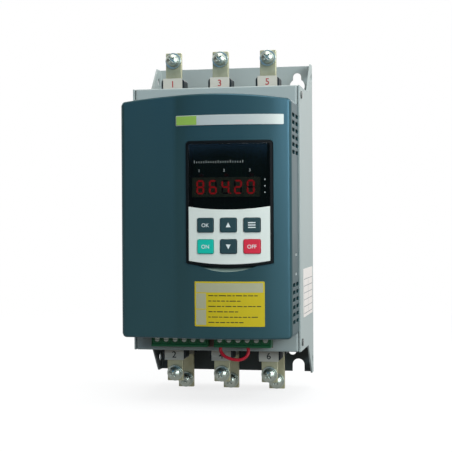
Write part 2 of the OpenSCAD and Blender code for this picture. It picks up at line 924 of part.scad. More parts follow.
// Seven bars of a digit, with pointed ends, and its decimal point.
module segment(l) {
    p = segment_w / 2;
    tip = l / 2;
    polygon([[-tip, 0], [p - tip, p], [tip - p, p], [tip, 0], [tip - p, -p], [p - tip, -p]]);
}

module digit() {
    w = digit_w - segment_w;
    h = (digit_h - segment_w) / 2;
    for (z = [-h, 0, h])
        translate([0, z]) segment(w - 2 * segment_gap);
    for (x = [-w / 2, w / 2], z = [-h / 2, h / 2])
        translate([x, z]) rotate(90) segment(h - 2 * segment_gap);
    translate([w / 2 + point_x, -h]) circle(point_r);
}

module display_segments()
    color([0.85, 0.1, 0.08]) for (k = [0 : digit_count - 1])
        slab_y(display_face, display_face + segment_t)
            translate([display_x + (k - (digit_count - 1) / 2) * digit_pitch, display_z]) digit();

module status_lamps()
    color([0.8, 0.2, 0.15]) for (k = [-1, 0, 1])
        translate([display_x + k * lamp_pitch, 0, lamp_z]) {
            rod_y(0, 0, lamp_r, op_board_face, display_face - lamp_r);
            translate([0, lamp_r - display_face, 0]) sphere(lamp_r);
        }

module operator_plug()
    color(black) plug_block(0, op_back - plug_l, op_board_face - pcb_t);

module operator_socket()
    color(black) difference() {
        plug_block(op_gap + socket_wall, board_face, socket_face);
        plug_block(op_gap, op_back - plug_l - plug_gap, far);
    }

// Control board and what it carries. Its tongue reaches out below the cover, to the terminal blocks.
module control_board()
    color(board_green) difference() {
        union() {
            block(board_left, board_right, board_back, board_face, tongue_top, board_top);
            block(tongue_left, tongue_right, board_back, board_face, board_bottom, tongue_top + cut);
        }
        for (x = support_x, z = support_z)
            rod_y(x, z, support_pin_r + fit, board_back - cut, board_face + cut);
    }

module board_supports()
    color(pale) for (x = support_x, z = support_z) {
        rod_y(x, z, support_r, wall_d, board_back);
        rod_y(x, z, support_pin_r, board_back - cut, board_face + cut);
        rod_y(x, z, support_head_r, board_face, board_face + support_head_h);
    }

// A terminal block: a stepped body with a screw well and a wire entry for each pole.
module term_section()
    polygon([
        [-board_face, term_top],
        [term_chamfer_y - term_face, term_top],
        [-term_face, term_top - term_chamfer_z],
        [-term_face, term_low + term_nose_h],
        [-term_face - term_nose_t, term_low + term_nose_h - term_nose_t],
        [-term_face - term_nose_t, term_low],
        [-board_face, term_low]]);

module control_terminal(middle)
    color([0.12, 0.36, 0.2]) difference() {
        slab_x(middle - term_w / 2, middle + term_w / 2) term_section();
        for (k = [0 : poles - 1]) {
            x = pole_x(middle, k);
            rod_y(x, term_screw_z, pole_screw_r + fit, term_face - well_d, term_face + cut);
            block(x - wire_entry / 2, x + wire_entry / 2, board_face + entry_y,
                board_face + entry_y + wire_entry, term_low - cut, term_low + entry_l);
        }
        for (k = [0 : poles]) {
            x = pole_x(middle, k - 0.5);
            block(x - groove_w / 2, x + groove_w / 2, term_face - groove_d, term_face + cut,
                term_low + term_nose_h, term_top + cut);
        }
    }

module control_terminal_screws()
    color(zinc) for (m = [left_block_x, right_block_x], k = [0 : poles - 1]) {
        x = pole_x(m, k);
        top = term_face - well_d + pole_screw_h;
        difference() {
            rod_y(x, term_screw_z, pole_screw_r, term_face - well_d, top);
            block(x - pole_screw_r - cut, x + pole_screw_r + cut, top - pole_slot_d, top + cut,
                term_screw_z - pole_slot_w / 2, term_screw_z + pole_slot_w / 2);
        }
    }

// Sweep of a round section along a list of points.
function unit(v) = v / norm(v);
function heading(p, i) = unit(p[min(i + 1, len(p) - 1)] - p[max(i - 1, 0)]);
function ring(p, i, r, n) =
    let (t = heading(p, i), a = unit(cross([0, 1, 0], t)), b = cross(t, a))
    [for (k = [0 : n - 1]) p[i] + r * (cos(360 * k / n) * a + sin(360 * k / n) * b)];

module tube(p, r, n) {
    last = (len(p) - 1) * n;
    polyhedron(
        points = [for (i = [0 : len(p) - 1]) each ring(p, i, r, n)],
        faces = concat(
            [for (i = [0 : len(p) - 2], k = [0 : n - 1])
                [i * n + k, i * n + (k + 1) % n, (i + 1) * n + (k + 1) % n, (i + 1) * n + k]],
            [[for (k = [n - 1 : -1 : 0]) k]],
            [[for (k = [0 : n - 1]) last + k]]));
}

module jumper_wire()
    color([0.8, 0.12, 0.18]) tube(jumper_points, jumper_r, jumper_sides);

// A part on the control board, about its middle.
module board_part(x, z, w, h, d)
    block(x - w / 2, x + w / 2, board_face, board_face + d, z - h / 2, z + h / 2);

module relays()
    color([0.16, 0.25, 0.55]) for (x = relay_x)
        board_part(x, relay_z, relay_w, relay_h, relay_d);

module supply_transformer()
    color([0.25, 0.22, 0.2]) {
        board_part(supply_x, supply_z, core_w, core_h, core_d);
        board_part(supply_x, supply_z, coil_w, coil_h, coil_d);
    }

module pulse_transformers()
    color([0.1, 0.1, 0.1]) for (x = pulse_x)
        board_part(x, pulse_z, pulse_w, pulse_w, pulse_d);

// Power section.
module heatsink()
    color([0.6, 0.62, 0.63]) difference() {
        translate([0, 0, -sink_bottom]) linear_extrude(sink_top + sink_bottom) {
            translate([-sink_half, -sink_face]) square([2 * sink_half, sink_base_t]);
            for (k = [0 : fin_count - 1])
                translate([(k - (fin_count - 1) / 2) * fin_pitch - fin_t / 2, -sink_back - cut])
                    square([fin_t, sink_back - sheet_t - fin_gap + cut]);
        }
        for (s = [-1, 1], z = post_z)
            rod_y(s * post_x, z, m5_r + fit, sink_back - cut, sink_face + cut);
        for (k = [1 : 3], s = [-1, 1])
            rod_y(phase_x(k), s * module_hole_z, m5_r + fit, sink_face - module_tap, sink_face + cut);
    }

module heatsink_posts()
    color(zinc) for (s = [-1, 1], z = post_z)
        difference() {
            rod_y(s * post_x, z, post_r, sheet_t, sink_back);
            rod_y(s * post_x, z, m5_r + fit, sink_back - post_tap, sink_back + cut);
        }

// A cheese-head screw along Y, its head's seat at depth d.
module cheese_screw(x, z, d, l) {
    rod_y(x, z, m5_r, d - l, d + cut);
    difference() {
        rod_y(x, z, m5_head_r, d, d + m5_head_h);
        rod_y(x, z, m5_key_r, d + m5_head_h / 2, d + m5_head_h + cut, $fn = 6);
    }
}

module heatsink_screws()
    color(zinc) for (s = [-1, 1], z = post_z)
        cheese_screw(s * post_x, z, sink_face, sink_base_t + m5_grip);

// A module: a base with an ear at each end, a body, and a tower under each bar.
module thyristor_module(k) {
    x = phase_x(k);
    half = module_w / 2;
    tower_half = bar_w / 2 + tower_edge;
    color([0.14, 0.14, 0.15]) difference() {
        union() {
            block(x - half, x + half, sink_face, sink_face + module_end_h, -module_l / 2, module_l / 2);
            block(x - half + module_draft, x + half - module_draft, sink_face + module_base_t,
                bar_back - module_step, -module_body, module_body);
            for (z = [-tower_z, tower_z])
                block(x - tower_half, x + tower_half, sink_face + module_base_t, bar_back,
                    z - tower_h / 2, z + tower_h / 2);
        }
        for (s = [-1, 1]) {
            rod_y(x, s * module_hole_z, m5_r + fit, sink_face - cut, sink_face + module_end_h + cut);
            rod_y(x, s * tower_z, m5_r + fit, bar_back - tower_tap, bar_back + cut);
        }
    }
}

module module_screws()
    color(zinc) for (k = [1 : 3], s = [-1, 1])
        cheese_screw(phase_x(k), s * module_hole_z, sink_face + module_end_h, module_end_h + module_grip);

// Screws that hold the bars to the modules, and the bypass bars to the load bars.
module bar_screws()
    color(zinc) for (k = [1 : 3]) {
        for (s = [-1, 1])
            cheese_screw(phase_x(k), s * tower_z, bar_face, bar_t + m5_grip);
        cheese_screw(phase_x(k), tab_z, bar_face, 2 * bar_t);
    }

// A flat bar along Z, from z0 to z1, with a small hole near one end and a screw hole near the other.
module flat_bar(k, z0, z1, screw_z, hole_z)
    color(tinned) difference() {
        slab_y(bar_back, bar_face)
            translate([phase_x(k), (z0 + z1) / 2]) round_rect(bar_w, z1 - z0, bar_corner_r);
        rod_y(phase_x(k), screw_z, bar_hole_r, bar_back - cut, bar_face + cut);
        for (z = hole_z)
            rod_y(phase_x(k), z, m5_r + fit, bar_back - cut, bar_face + cut);
    }

module line_bar(k)
    flat_bar(k, bar_root, line_end, line_end - screw_edge, [tower_z]);

module load_bar(k)
    flat_bar(k, -load_end, -bar_root, -load_end + screw_edge, [-tower_z, tab_z]);

// A bypass bar: a tab behind the load bar, a run back under the heatsink, and a leg down.
module bypass_section() {
    r = bend_r;
    run_top = tab_bottom;
    run_bottom = run_top - bar_t;
    // Tab and its bend to the run.
    translate([-bar_back, run_bottom + r]) square([bar_t, tab_top - run_bottom - r]);
    intersection() {
        difference() {
            translate([-bar_back + r, run_bottom + r]) circle(r);
            translate([-bar_back + r, run_bottom + r]) circle(r - bar_t);
        }
        translate([-bar_back, run_bottom]) square(r);
    }
    translate([-bar_back + r, run_bottom]) square([bar_back - r - bypass_back - r, bar_t]);
    // Bend down to the leg.
    intersection() {
        difference() {
            translate([-bypass_back - r, run_top - r]) circle(r);
            translate([-bypass_back - r, run_top - r]) circle(r - bar_t);
        }
        translate([-bypass_back - r, run_top - r]) square(r);
    }
    translate([-bypass_d, -bypass_end]) square([bar_t, run_top - r + bypass_end]);
}

module bypass_bar(k)
    color(tinned) difference() {
        slab_x(phase_x(k) - bar_w / 2, phase_x(k) + bar_w / 2) bypass_section();
        rod_y(phase_x(k), tab_z, m5_r + fit, bar_back - bar_t - cut, bar_back + cut);
        rod_y(phase_x(k), -bypass_end + screw_edge, bar_hole_r, bypass_back - cut, bypass_d + cut);
    }

module current_transformer(k)
    color([0.1, 0.13, 0.2]) translate([phase_x(k), -bar_back - bar_t / 2, -rail_top + rail_h])
        difference() {
            cylinder(r = ct_r, h = ct_h);
            translate([0, 0, -cut]) cylinder(r = ct_bore_r, h = ct_h + 2 * cut);
        }

// An insulator rail across the chassis, with a block round each bar; drawn for the upper end.
module insulator_rail() {
    block_top = rail_top + block_h;
    difference() {
        union() {
            block(-rail_half, rail_half, rail_back, rail_face, rail_top - rail_h, rail_top);
            for (k = [1 : 3])
                slab_y(rail_back, block_face) translate([phase_x(k), rail_top + (block_h - block_root) / 2])
                    round_rect(block_w, block_h + block_root, block_r);
        }
        for (k = [1 : 3])
            block(phase_x(k) - bar_w / 2 - fit, phase_x(k) + bar_w / 2 + fit, bar_back - fit, bar_face + fit,
                rail_top - rail_h - cut, block_top + cut);
        for (s = [0, 1])
            mirror([s, 0, 0])
                rod_x(half_w - wall_screw_l - cut, half_w, -wall_screw_y, wall_screw_z, wall_screw_r + fit);
    }
}

module line_insulator()
    color(black) insulator_rail();

module load_insulator()
    color(black) mirror([0, 0, 1]) insulator_rail();

module bypass_insulators()
    color(black) for (k = [1 : 3])
        block(phase_x(k) - bar_w / 2 - foot_edge, phase_x(k) + bar_w / 2 + foot_edge, sheet_t, bypass_back,
            -rail_top - block_h, -rail_top);

module terminal_labels()
    color([0.8, 0.79, 0.74]) for (k = [1 : 3]) {
        for (s = [-1, 1])
            slab_y(block_face, block_face + tag_t)
                translate([phase_x(k), s * tag_z]) square([tag_w, tag_h], center = true);
        slab_y(bypass_d, bypass_d + tag_t)
            translate([phase_x(k), -tag_z]) square([bar_w, tag_h], center = true);
    }

// Terminal screws: places of the bars' holes and the depth of each bar's face.
module each_terminal()
    for (k = [1 : 3]) {
        translate([phase_x(k), -bar_face, line_end - screw_edge]) children();
        translate([phase_x(k), -bar_face, -load_end + screw_edge]) children();
        translate([phase_x(k), -bypass_d, -bypass_end + screw_edge]) children();
    }

// A screw with a domed head and a cross recess, its bar's face at z = 0.
module terminal_screw() {
    tail = bar_t + nut_h + tail_l;
    rotate([90, 0, 0]) difference() {
        union() {
            translate([0, 0, -tail]) cylinder(r = screw_r, h = tail + stack_t + cut);
            translate([0, 0, stack_t]) intersection() {
                cylinder(r = head_r, h = head_h);
                translate([0, 0, head_h - dome_r]) sphere(dome_r);
            }
        }
        for (a = [45, 135])
            rotate(a) translate([-recess_l / 2, -recess_w / 2, stack_t + head_h - recess_d])
                cube([recess_l, recess_w, recess_d + cut]);
    }
}

module terminal_screws()
    color(zinc) each_terminal() terminal_screw();

module terminal_washers()
    color(zinc) each_terminal() rotate([90, 0, 0]) {
        difference() {
            cylinder(r = washer_r, h = washer_t);
            translate([0, 0, -cut]) cylinder(r = screw_r + fit, h = washer_t + 2 * cut);
        }
        translate([0, 0, washer_t + seat]) difference() {
            cylinder(r = spring_r, h = spring_t);
            translate([0, 0, -cut]) cylinder(r = screw_r + fit, h = spring_t + 2 * cut);
            rotate(spring_turn) translate([0, -spring_slit / 2, -cut])
                cube([spring_r + cut, spring_slit, spring_t + 2 * cut]);
        }
    }

module terminal_nuts()
    color(zinc) each_terminal() rotate([-90, 0, 0]) translate([0, 0, bar_t]) difference() {
        cylinder(r = nut_af / 2 / cos(30), h = nut_h, $fn = 6);
        translate([0, 0, -cut]) cylinder(r = screw_r + fit, h = nut_h + 2 * cut);
    }

back_chassis();
front_plate();
chassis_screws();
front_cover();
trim_strip();
trim_badge();
info_label();
side_label();
operator_housing();
operator_window();
operator_bezel();
key(-1, 1, dark_key);  // key_set
key(0, 1, dark_key);  // key_up
key(1, 1, dark_key);  // key_menu
key(-1, -1, green_key);  // key_run
key(0, -1, dark_key);  // key_down
key(1, -1, red_key);  // key_stop
operator_board();
key_switches();
led_display();
display_segments();
status_lamps();
operator_plug();
operator_socket();
control_board();
board_supports();
control_terminal(left_block_x);  // control_terminal_left
control_terminal(right_block_x);  // control_terminal_right
control_terminal_screws();
jumper_wire();
relays();
supply_transformer();
pulse_transformers();
heatsink();
heatsink_posts();
heatsink_screws();
thyristor_module(1);  // thyristor_module_1
thyristor_module(2);  // thyristor_module_2
thyristor_module(3);  // thyristor_module_3
module_screws();
bar_screws();
line_bar(1);  // line_bar_1
line_bar(2);  // line_bar_2
line_bar(3);  // line_bar_3
load_bar(1);  // load_bar_1
load_bar(2);  // load_bar_2
load_bar(3);  // load_bar_3
bypass_bar(1);  // bypass_bar_1
bypass_bar(2);  // bypass_bar_2
bypass_bar(3);  // bypass_bar_3
current_transformer(1);  // current_transformer_1
current_transformer(2);  // current_transformer_2
current_transformer(3);  // current_transformer_3
line_insulator();
load_insulator();
bypass_insulators();
terminal_labels();
terminal_screws();
terminal_washers();
terminal_nuts();
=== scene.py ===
"""A wall-mounted soft starter: finishes, printed marks and wire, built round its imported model."""

import json
import math

import bmesh
import bpy
import numpy as np
from mathutils import Euler, Matrix, Vector

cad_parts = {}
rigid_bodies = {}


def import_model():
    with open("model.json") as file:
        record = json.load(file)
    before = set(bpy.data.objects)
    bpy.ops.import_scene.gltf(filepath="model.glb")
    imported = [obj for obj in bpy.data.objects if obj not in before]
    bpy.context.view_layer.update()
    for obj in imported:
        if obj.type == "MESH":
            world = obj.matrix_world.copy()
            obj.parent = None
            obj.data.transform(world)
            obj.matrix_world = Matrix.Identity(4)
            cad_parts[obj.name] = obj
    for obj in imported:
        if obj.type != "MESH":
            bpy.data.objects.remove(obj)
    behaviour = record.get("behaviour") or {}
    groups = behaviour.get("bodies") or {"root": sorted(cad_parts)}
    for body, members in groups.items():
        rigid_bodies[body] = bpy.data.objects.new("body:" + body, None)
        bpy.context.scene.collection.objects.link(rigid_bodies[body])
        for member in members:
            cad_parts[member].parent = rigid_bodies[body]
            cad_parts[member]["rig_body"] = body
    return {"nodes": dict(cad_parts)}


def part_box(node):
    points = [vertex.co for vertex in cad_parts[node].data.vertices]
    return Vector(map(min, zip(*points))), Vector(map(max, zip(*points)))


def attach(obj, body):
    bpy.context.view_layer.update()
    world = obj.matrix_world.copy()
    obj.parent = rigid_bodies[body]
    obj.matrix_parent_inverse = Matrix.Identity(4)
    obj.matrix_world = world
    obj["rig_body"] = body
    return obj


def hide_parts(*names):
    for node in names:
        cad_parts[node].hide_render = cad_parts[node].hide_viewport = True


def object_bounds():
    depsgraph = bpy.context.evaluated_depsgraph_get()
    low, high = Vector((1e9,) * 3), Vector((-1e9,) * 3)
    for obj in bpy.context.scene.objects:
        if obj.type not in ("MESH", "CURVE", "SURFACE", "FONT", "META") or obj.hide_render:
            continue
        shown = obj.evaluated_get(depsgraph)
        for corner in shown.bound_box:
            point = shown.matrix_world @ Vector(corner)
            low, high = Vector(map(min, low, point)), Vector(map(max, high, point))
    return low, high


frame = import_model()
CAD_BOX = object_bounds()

bl_info = {
    "name": "Soft Starter",
    "version": (1, 0, 0),
    "blender": (4, 5, 0),
    "location": "View3D > Sidebar > Soft Starter",
    "description": "Dresses a soft starter's packed model with its finishes, printed marks and wire",
    "category": "Object",
}

MM = 0.001
LIGHT_DISTANCE = 1.7

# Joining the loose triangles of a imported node.
WELD = 2e-6
FLAT_ANGLE = math.radians(0.06)
SHARP_ANGLE = math.radians(32)

# How close to an outline a point counts as lying on it.
NEAR = 0.06 * MM

# The bowed bay of the cover: an arc seen from above.
COVER_LOW, COVER_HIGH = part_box("front_cover")
BOW_RADIUS = 170 * MM
BOW_X = 16 * MM
BOW_Y = COVER_LOW.y + BOW_RADIUS

# The cover's outline seen from the front: an arched top and round corners.
ARCH_RADIUS = 525 * MM
CORNER_RADIUS = 4 * MM

# How far the flat bay lies behind the bowed one, and how deep the front rim is.
FLAT_BAY_DROP = 9 * MM
RIM_DEPTH = 4.4 * MM

# How far below the operator the finger scoop can reach.
SCOOP_DROP = 12 * MM

# The chassis' lower mouth, where the coat gets painted shade: a depth just under the sheet's thickness, the
# mouth's front, its height.
SKIN = 1.4 * MM
MOUTH_FRONT = -84 * MM
MOUTH_HEIGHT = 24 * MM

# Heights over the bowed bay's face.
PANEL_LIFT = 1.2 * MM
KEY_LIFT = 2.2 * MM
LABEL_LIFT = 0.3 * MM
INK = 0.025 * MM

# Edge roundings of the thinnest pieces.
FILM_EDGE = 0.05 * MM
TAG_EDGE = 0.1 * MM
STRIP_EDGE = 0.12 * MM
CLAMP_EDGE = 0.12 * MM

# Type: a capital's height as a share of the type size, and how far its strokes swell per height.
CAPITAL = 0.7
TYPE_WEIGHT = 0.013

# The jumper wire's route, as the model's own points in millimetres.
JUMPER_POINTS = (
    (5.8, -104, -105.5), (5.8, -104, -107.6), (5.8, -104.1, -109.6), (6.1, -104.5, -111.5),
    (7.1, -105.1, -113.3), (8.8, -105.7, -114.9), (11, -106.3, -116.2), (13.6, -106.7, -117.2),
    (16.5, -107, -117.9), (19.5, -107.1, -118.3), (22.4, -107, -118.2), (25, -106.7, -117.5),
    (27.2, -106.2, -116.2), (28.8, -105.6, -114.5), (29.6, -104.9, -112.7), (29.7, -104.4, -110.9),
    (29.4, -104.1, -109.2), (29.2, -104, -107.6), (29.2, -104, -105.5))
JUMPER_STEPS = 6
JUMPER_SIDES = 20


def linear(red, green, blue):
    """A colour given as 0 to 255 on a screen, as the linear values that shaders use."""
    screen = np.array((red, green, blue)) / 255
    return tuple(np.where(screen <= 0.04045, screen / 12.92, ((screen + 0.055) / 1.055) ** 2.4))


# Shader maths.

class Value:
    """A socket of a node tree; arithmetic on it adds Math nodes."""

    def __init__(self, tree, socket):
        self.tree = tree
        self.socket = socket

    def math(self, operation, first, second):
        """A Math node on two values or numbers."""
        return self.tree.node("ShaderNodeMath", {"operation": operation}, {0: first, 1: second})

    def __add__(self, other):
        return self.math("ADD", self, other)

    def __sub__(self, other):
        return self.math("SUBTRACT", self, other)

    def __rsub__(self, other):
        return self.math("SUBTRACT", other, self)

    def __mul__(self, other):
        return self.math("MULTIPLY", self, other)

    def __gt__(self, other):
        return self.math("GREATER_THAN", self, other)

    __radd__ = __add__
    __rmul__ = __mul__


class Tree:
    """The node tree of a material or a world, to which one method adds nodes of any kind."""

    def __init__(self, owner):
        owner.use_nodes = True
        self.nodes = owner.node_tree.nodes
        self.links = owner.node_tree.links

    def feed(self, socket, value):
        """Links a Value to a socket, or sets a constant on it."""
        if isinstance(value, Value):
            self.links.new(value.socket, socket)
        else:
            socket.default_value = value

    def node(self, kind, settings=None, sockets=None, output=0):
        """Adds a node: its settings first, then the values or links of its sockets."""
        made = self.nodes.new(kind)
        for name, value in (settings or {}).items():
            setattr(made, name, value)
        for key, value in (sockets or {}).items():
            self.feed(made.inputs[key], value)
        return Value(self, made.outputs[output])

    def ramp(self, value, start, end, low, high):
        """A value carried from one range to another and held at both ends."""
        return self.node("ShaderNodeMapRange", sockets={
            "Value": value, "From Min": start, "From Max": end, "To Min": low, "To Max": high})

    def vector(self, operation, first, second=(0, 0, 0), output="Value"):
        """A Vector Math node on one or two vectors."""
        return self.node("ShaderNodeVectorMath", {"operation": operation}, {0: first, 1: second}, output)

    def mix(self, factor, first, second):
        """A colour between two others."""
        return self.node("ShaderNodeMix", {"data_type": "RGBA"}, {0: factor, 6: first, 7: second}, output=2)


class Finish(Tree):
    """A material with one shader, built up from nodes on Object coordinates."""

    def __init__(self, name, colour, roughness, **constants):
        self.material = bpy.data.materials.new(name)
        super().__init__(self.material)
        self.shader = self.nodes["Principled BSDF"]
        self.colour = (*colour, 1.0)
        self.set("Base Color", self.colour)
        self.set("Roughness", roughness)
        for socket, value in constants.items():
            self.set(socket.replace("_", " "), value)
        self.place = self.node("ShaderNodeTexCoord", output="Object")

    def noise(self, size, stretch=(1, 1, 1), detail=2.0):
        """Noise from 0 to 1 with blotches of a size in metres, drawn out along each axis by stretch."""
        scale = tuple(1 / (size * s) for s in stretch)
        at = self.node("ShaderNodeMapping", sockets={"Vector": self.place, "Scale": scale})
        return self.node("ShaderNodeTexNoise", sockets={"Vector": at, "Scale": 1.0, "Detail": detail})

    def axis(self, name):
        """One coordinate of the place on the object, in metres."""
        return self.node("ShaderNodeSeparateXYZ", sockets={0: self.place}, output=name)

    def tint(self, share):
        """The finish's colour made darker or lighter by a share."""
        return tuple(min(1.0, c * (1 + share)) for c in self.colour[:3]) + (1.0,)

    def shades(self, mask, share):
        """The finish's colour, from darker to lighter by a share as a mask goes from 0 to 1."""
        return self.mix(mask, self.tint(-share), self.tint(share))

    def set(self, socket, value):
        """Feeds one of the shader's own sockets."""
        self.feed(self.shader.inputs[socket], value)

    def rough(self, mask, low, high):
        """Roughness that goes from low to high as a mask goes from 0 to 1."""
        self.set("Roughness", low + (high - low) * mask)

    def mottle(self, mask, share, low, high):
        """Colour and roughness that vary together, by a share and from low to high."""
        self.set("Base Color", self.shades(mask, share))
        self.rough(mask, low, high)

    def bump(self, height, strength, distance):
        """Relief from a height field."""
        self.set("Normal", self.node("ShaderNodeBump", sockets={
            "Height": height, "Strength": strength, "Distance": distance}))


# Finishes.

def powder_coat(name, colour, painted_shade):
    """Powder coat on sheet steel: a fine orange peel, with soft patches of gloss.

    Painted shade darkens it inside the chassis' lower mouth, where shadow falls. The shade is told
    by place: within the chassis' skin, behind the front plate, and darker towards the bottom.
    """
    finish = Finish(name, colour, 0.42)
    patches = finish.noise(30 * MM)
    low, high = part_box("back_chassis")
    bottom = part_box("front_plate")[0].z
    sideways = finish.axis("X")
    depth = finish.axis("Y")
    between_walls = (sideways > low.x + SKIN) * (high.x - SKIN - sideways > 0)
    behind_plate = (depth > MOUTH_FRONT) * (high.y - SKIN - depth > 0)
    # Painted shade: the mouth's inside goes darker towards the bottom, where shadow falls.
    film = finish.ramp(bottom + MOUTH_HEIGHT - finish.axis("Z"), 0, MOUTH_HEIGHT, 0, 1)
    shade_mask = between_walls * behind_plate * film
    finish.set("Base Color", finish.mix(shade_mask, finish.shades(patches, 0.04), (*painted_shade, 1.0)))
    finish.rough(patches, 0.36, 0.5)
    finish.bump(finish.noise(1.1 * MM), 0.16, 0.06 * MM)
    return finish.material


def moulded(name, colour, roughness=0.42, grain=0.45, relief=0.18, specular=0.3):
    """Moulded plastic: a spark-eroded grain, with faint flow marks."""
    finish = Finish(name, colour, roughness, Specular_IOR_Level=specular)
    flow = finish.noise(24 * MM, (1, 1, 2.5))
    finish.mottle(flow, 0.05, roughness - 0.06, roughness + 0.06)
    finish.bump(finish.noise(grain * MM, detail=3.0), relief, 0.03 * MM)
    return finish.material


def cover_plastic(name, colour, shifted_colour):
    """The cover's glossy slate plastic, with painted light on the floor of the finger scoop.

    The scoop is told by place: under the operator, within its width and behind the bowed face.
    Its depth is the bow's radius less the distance from the bow's axis.
    """
    finish = Finish(name, colour, 0.36, Specular_IOR_Level=1.0, Specular_Tint=(0.36, 0.74, 1.0, 1.0))
    low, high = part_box("operator_housing")
    level = finish.vector("MULTIPLY", finish.place, (1, 1, 0), "Vector")
    reach = finish.vector("DISTANCE", level, (BOW_X, BOW_Y, 0))
    depth = BOW_RADIUS - reach
    shallowest = 0.15 * MM
    fade_start, fade_end = 0.2 * MM, 2 * MM
    below = low.z - finish.axis("Z")
    sideways = finish.axis("X")
    within = (sideways > low.x) * (high.x - sideways > 0)
    inside = (depth > shallowest) * (SCOOP_DROP - below > 0) * within
    # Painted light: the scoop's floor turns paler a little below the operator, and stays dark right under
    # it as painted shade.
    scoop_light = inside * finish.ramp(below, fade_start, fade_end, 0, 1)
    flow = finish.noise(24 * MM, (1, 1, 2.5))
    finish.set("Base Color", finish.mix(scoop_light, finish.shades(flow, 0.05), (*shifted_colour, 1.0)))
    finish.rough(flow, 0.3, 0.42)
    finish.bump(finish.noise(0.45 * MM, detail=3.0), 0.18, 0.03 * MM)
    return finish.material


def printed(name, colour, roughness=0.38):
    """Ink or film with a faint unevenness."""
    finish = Finish(name, colour, roughness, Specular_IOR_Level=0.35)
    finish.mottle(finish.noise(6 * MM), 0.05, roughness - 0.05, roughness + 0.05)
    return finish.material


def brushed_foil(name, colour):
    """Metallised film, brushed along its length."""
    finish = Finish(name, colour, 0.34, Metallic=0.35)
    finish.mottle(finish.noise(0.3 * MM, (60, 1, 1), 3.0), 0.06, 0.28, 0.44)
    return finish.material


def drawn_metal(name, colour, roughness, stretch, tarnish, metallic=1.0):
    """Drawn or rolled metal: tarnish in patches, with darker streaks along its length."""
    finish = Finish(name, colour, roughness, Metallic=metallic)
    streaks = finish.noise(0.5 * MM, stretch, 4.0)
    cloud = finish.noise(7 * MM)
    shifted_colour = finish.mix(cloud, finish.colour, (*tarnish, 1.0))
    finish.set("Base Color", finish.mix(0.35 * streaks, shifted_colour, finish.tint(-0.3)))
    finish.rough(streaks, roughness - 0.08, roughness + 0.12)
    finish.bump(streaks, 0.08, 0.02 * MM)
    return finish.material


def plated_metal(name, colour, tarnish, roughness=0.24):
    """Zinc plate: bright, with duller patches of passivation."""
    finish = Finish(name, colour, roughness, Metallic=1.0)
    cloud = finish.noise(3 * MM, detail=3.0)
    finish.set("Base Color", finish.mix(cloud, finish.colour, (*tarnish, 1.0)))
    finish.rough(finish.noise(1.2 * MM), roughness - 0.08, roughness + 0.12)
    finish.bump(finish.noise(0.35 * MM), 0.06, 0.02 * MM)
    return finish.material


def circuit_board(name, colour):
    """Board lacquer over straight tracks, which show as raised lighter lines."""
    finish = Finish(name, colour, 0.4)
    closeness, track_level, run_level = 90.0, 0.82, 0.52
    wave = finish.node("ShaderNodeTexWave", {"bands_direction": "X"}, {
        "Vector": finish.place, "Scale": closeness})
    runs = finish.noise(9 * MM, (1, 1, 3)) > run_level
    tracks = (wave > track_level) * runs
    finish.set("Base Color", finish.mix(tracks, finish.colour, finish.tint(0.7)))
    finish.rough(finish.noise(4 * MM), 0.36, 0.46)
    finish.bump(tracks, 0.3, 0.04 * MM)
    return finish.material


def smoked_window(name, colour, alpha):
    """Smoked acrylic: dark, clear and glossy, with faint wipe marks."""
    finish = Finish(name, colour, 0.06, Alpha=alpha)
    finish.rough(finish.noise(9 * MM, (3, 1, 1)), 0.03, 0.1)
    return finish.material


def lit_segments(name, lit, unlit):
    """Digit segments: the mesh's own glow value tells lit ones from dark ones."""
    finish = Finish(name, unlit, 0.35, Emission_Strength=0.9)
    glow = finish.node("ShaderNodeAttribute", {"attribute_name": "glow"}, output="Fac")
    haze = 0.85 + 0.3 * finish.noise(1.5 * MM)
    stray = (0.004, 0.0, 0.0, 1.0)
    finish.set("Base Color", finish.mix(glow, finish.colour, (*lit, 1.0)))
    finish.set("Emission Color", finish.mix(glow * haze, stray, (*lit, 1.0)))
    return finish.material


def insulation(name, colour):
    """Wire insulation: soft vinyl with a faint ripple."""
    finish = Finish(name, colour, 0.4, Specular_IOR_Level=0.4)
    finish.mottle(finish.noise(2.5 * MM), 0.08, 0.33, 0.47)
    finish.bump(finish.noise(0.6 * MM), 0.1, 0.03 * MM)
    return finish.material


# Mesh building.

def read(items, name, width=1, kind=float):
    """One attribute of a mesh's items as an array."""
    values = np.empty(len(items) * width, kind)
    items.foreach_get(name, values)
    return values.reshape(-1, width) if width > 1 else values


def placed(name, data):
    """A new object in the scene, of a mesh, type, a lamp or a camera."""
    made = bpy.data.objects.new(name, data)
    bpy.context.scene.collection.objects.link(made)
    return made


def carry(made, node):
    """Lets a piece ride on a CAD node's body."""
    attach(made, frame["nodes"][node]["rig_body"])


def piece(name, points, faces, material, carrier):
    """A new mesh piece on a CAD node, from an array of points and a list of faces."""
    mesh = bpy.data.meshes.new(name)
    mesh.from_pydata(points.tolist(), [], faces)
    mesh.materials.append(material)
    made = placed(name, mesh)
    carry(made, carrier)
    return made


def grid_faces(rows, columns, start=0):
    """Quads of a grid whose points run along its rows."""
    corner = start + np.arange(rows - 1)[:, None] * columns + np.arange(columns - 1)
    corner = corner.ravel()
    return np.stack((corner, corner + 1, corner + columns + 1, corner + columns), 1).tolist()


def bow_y(x, lift):
    """Y of the bowed bay's face at x, raised by lift: an arc about the bow's middle."""
    return BOW_Y - np.sqrt((BOW_RADIUS + lift) ** 2 - (x - BOW_X) ** 2)


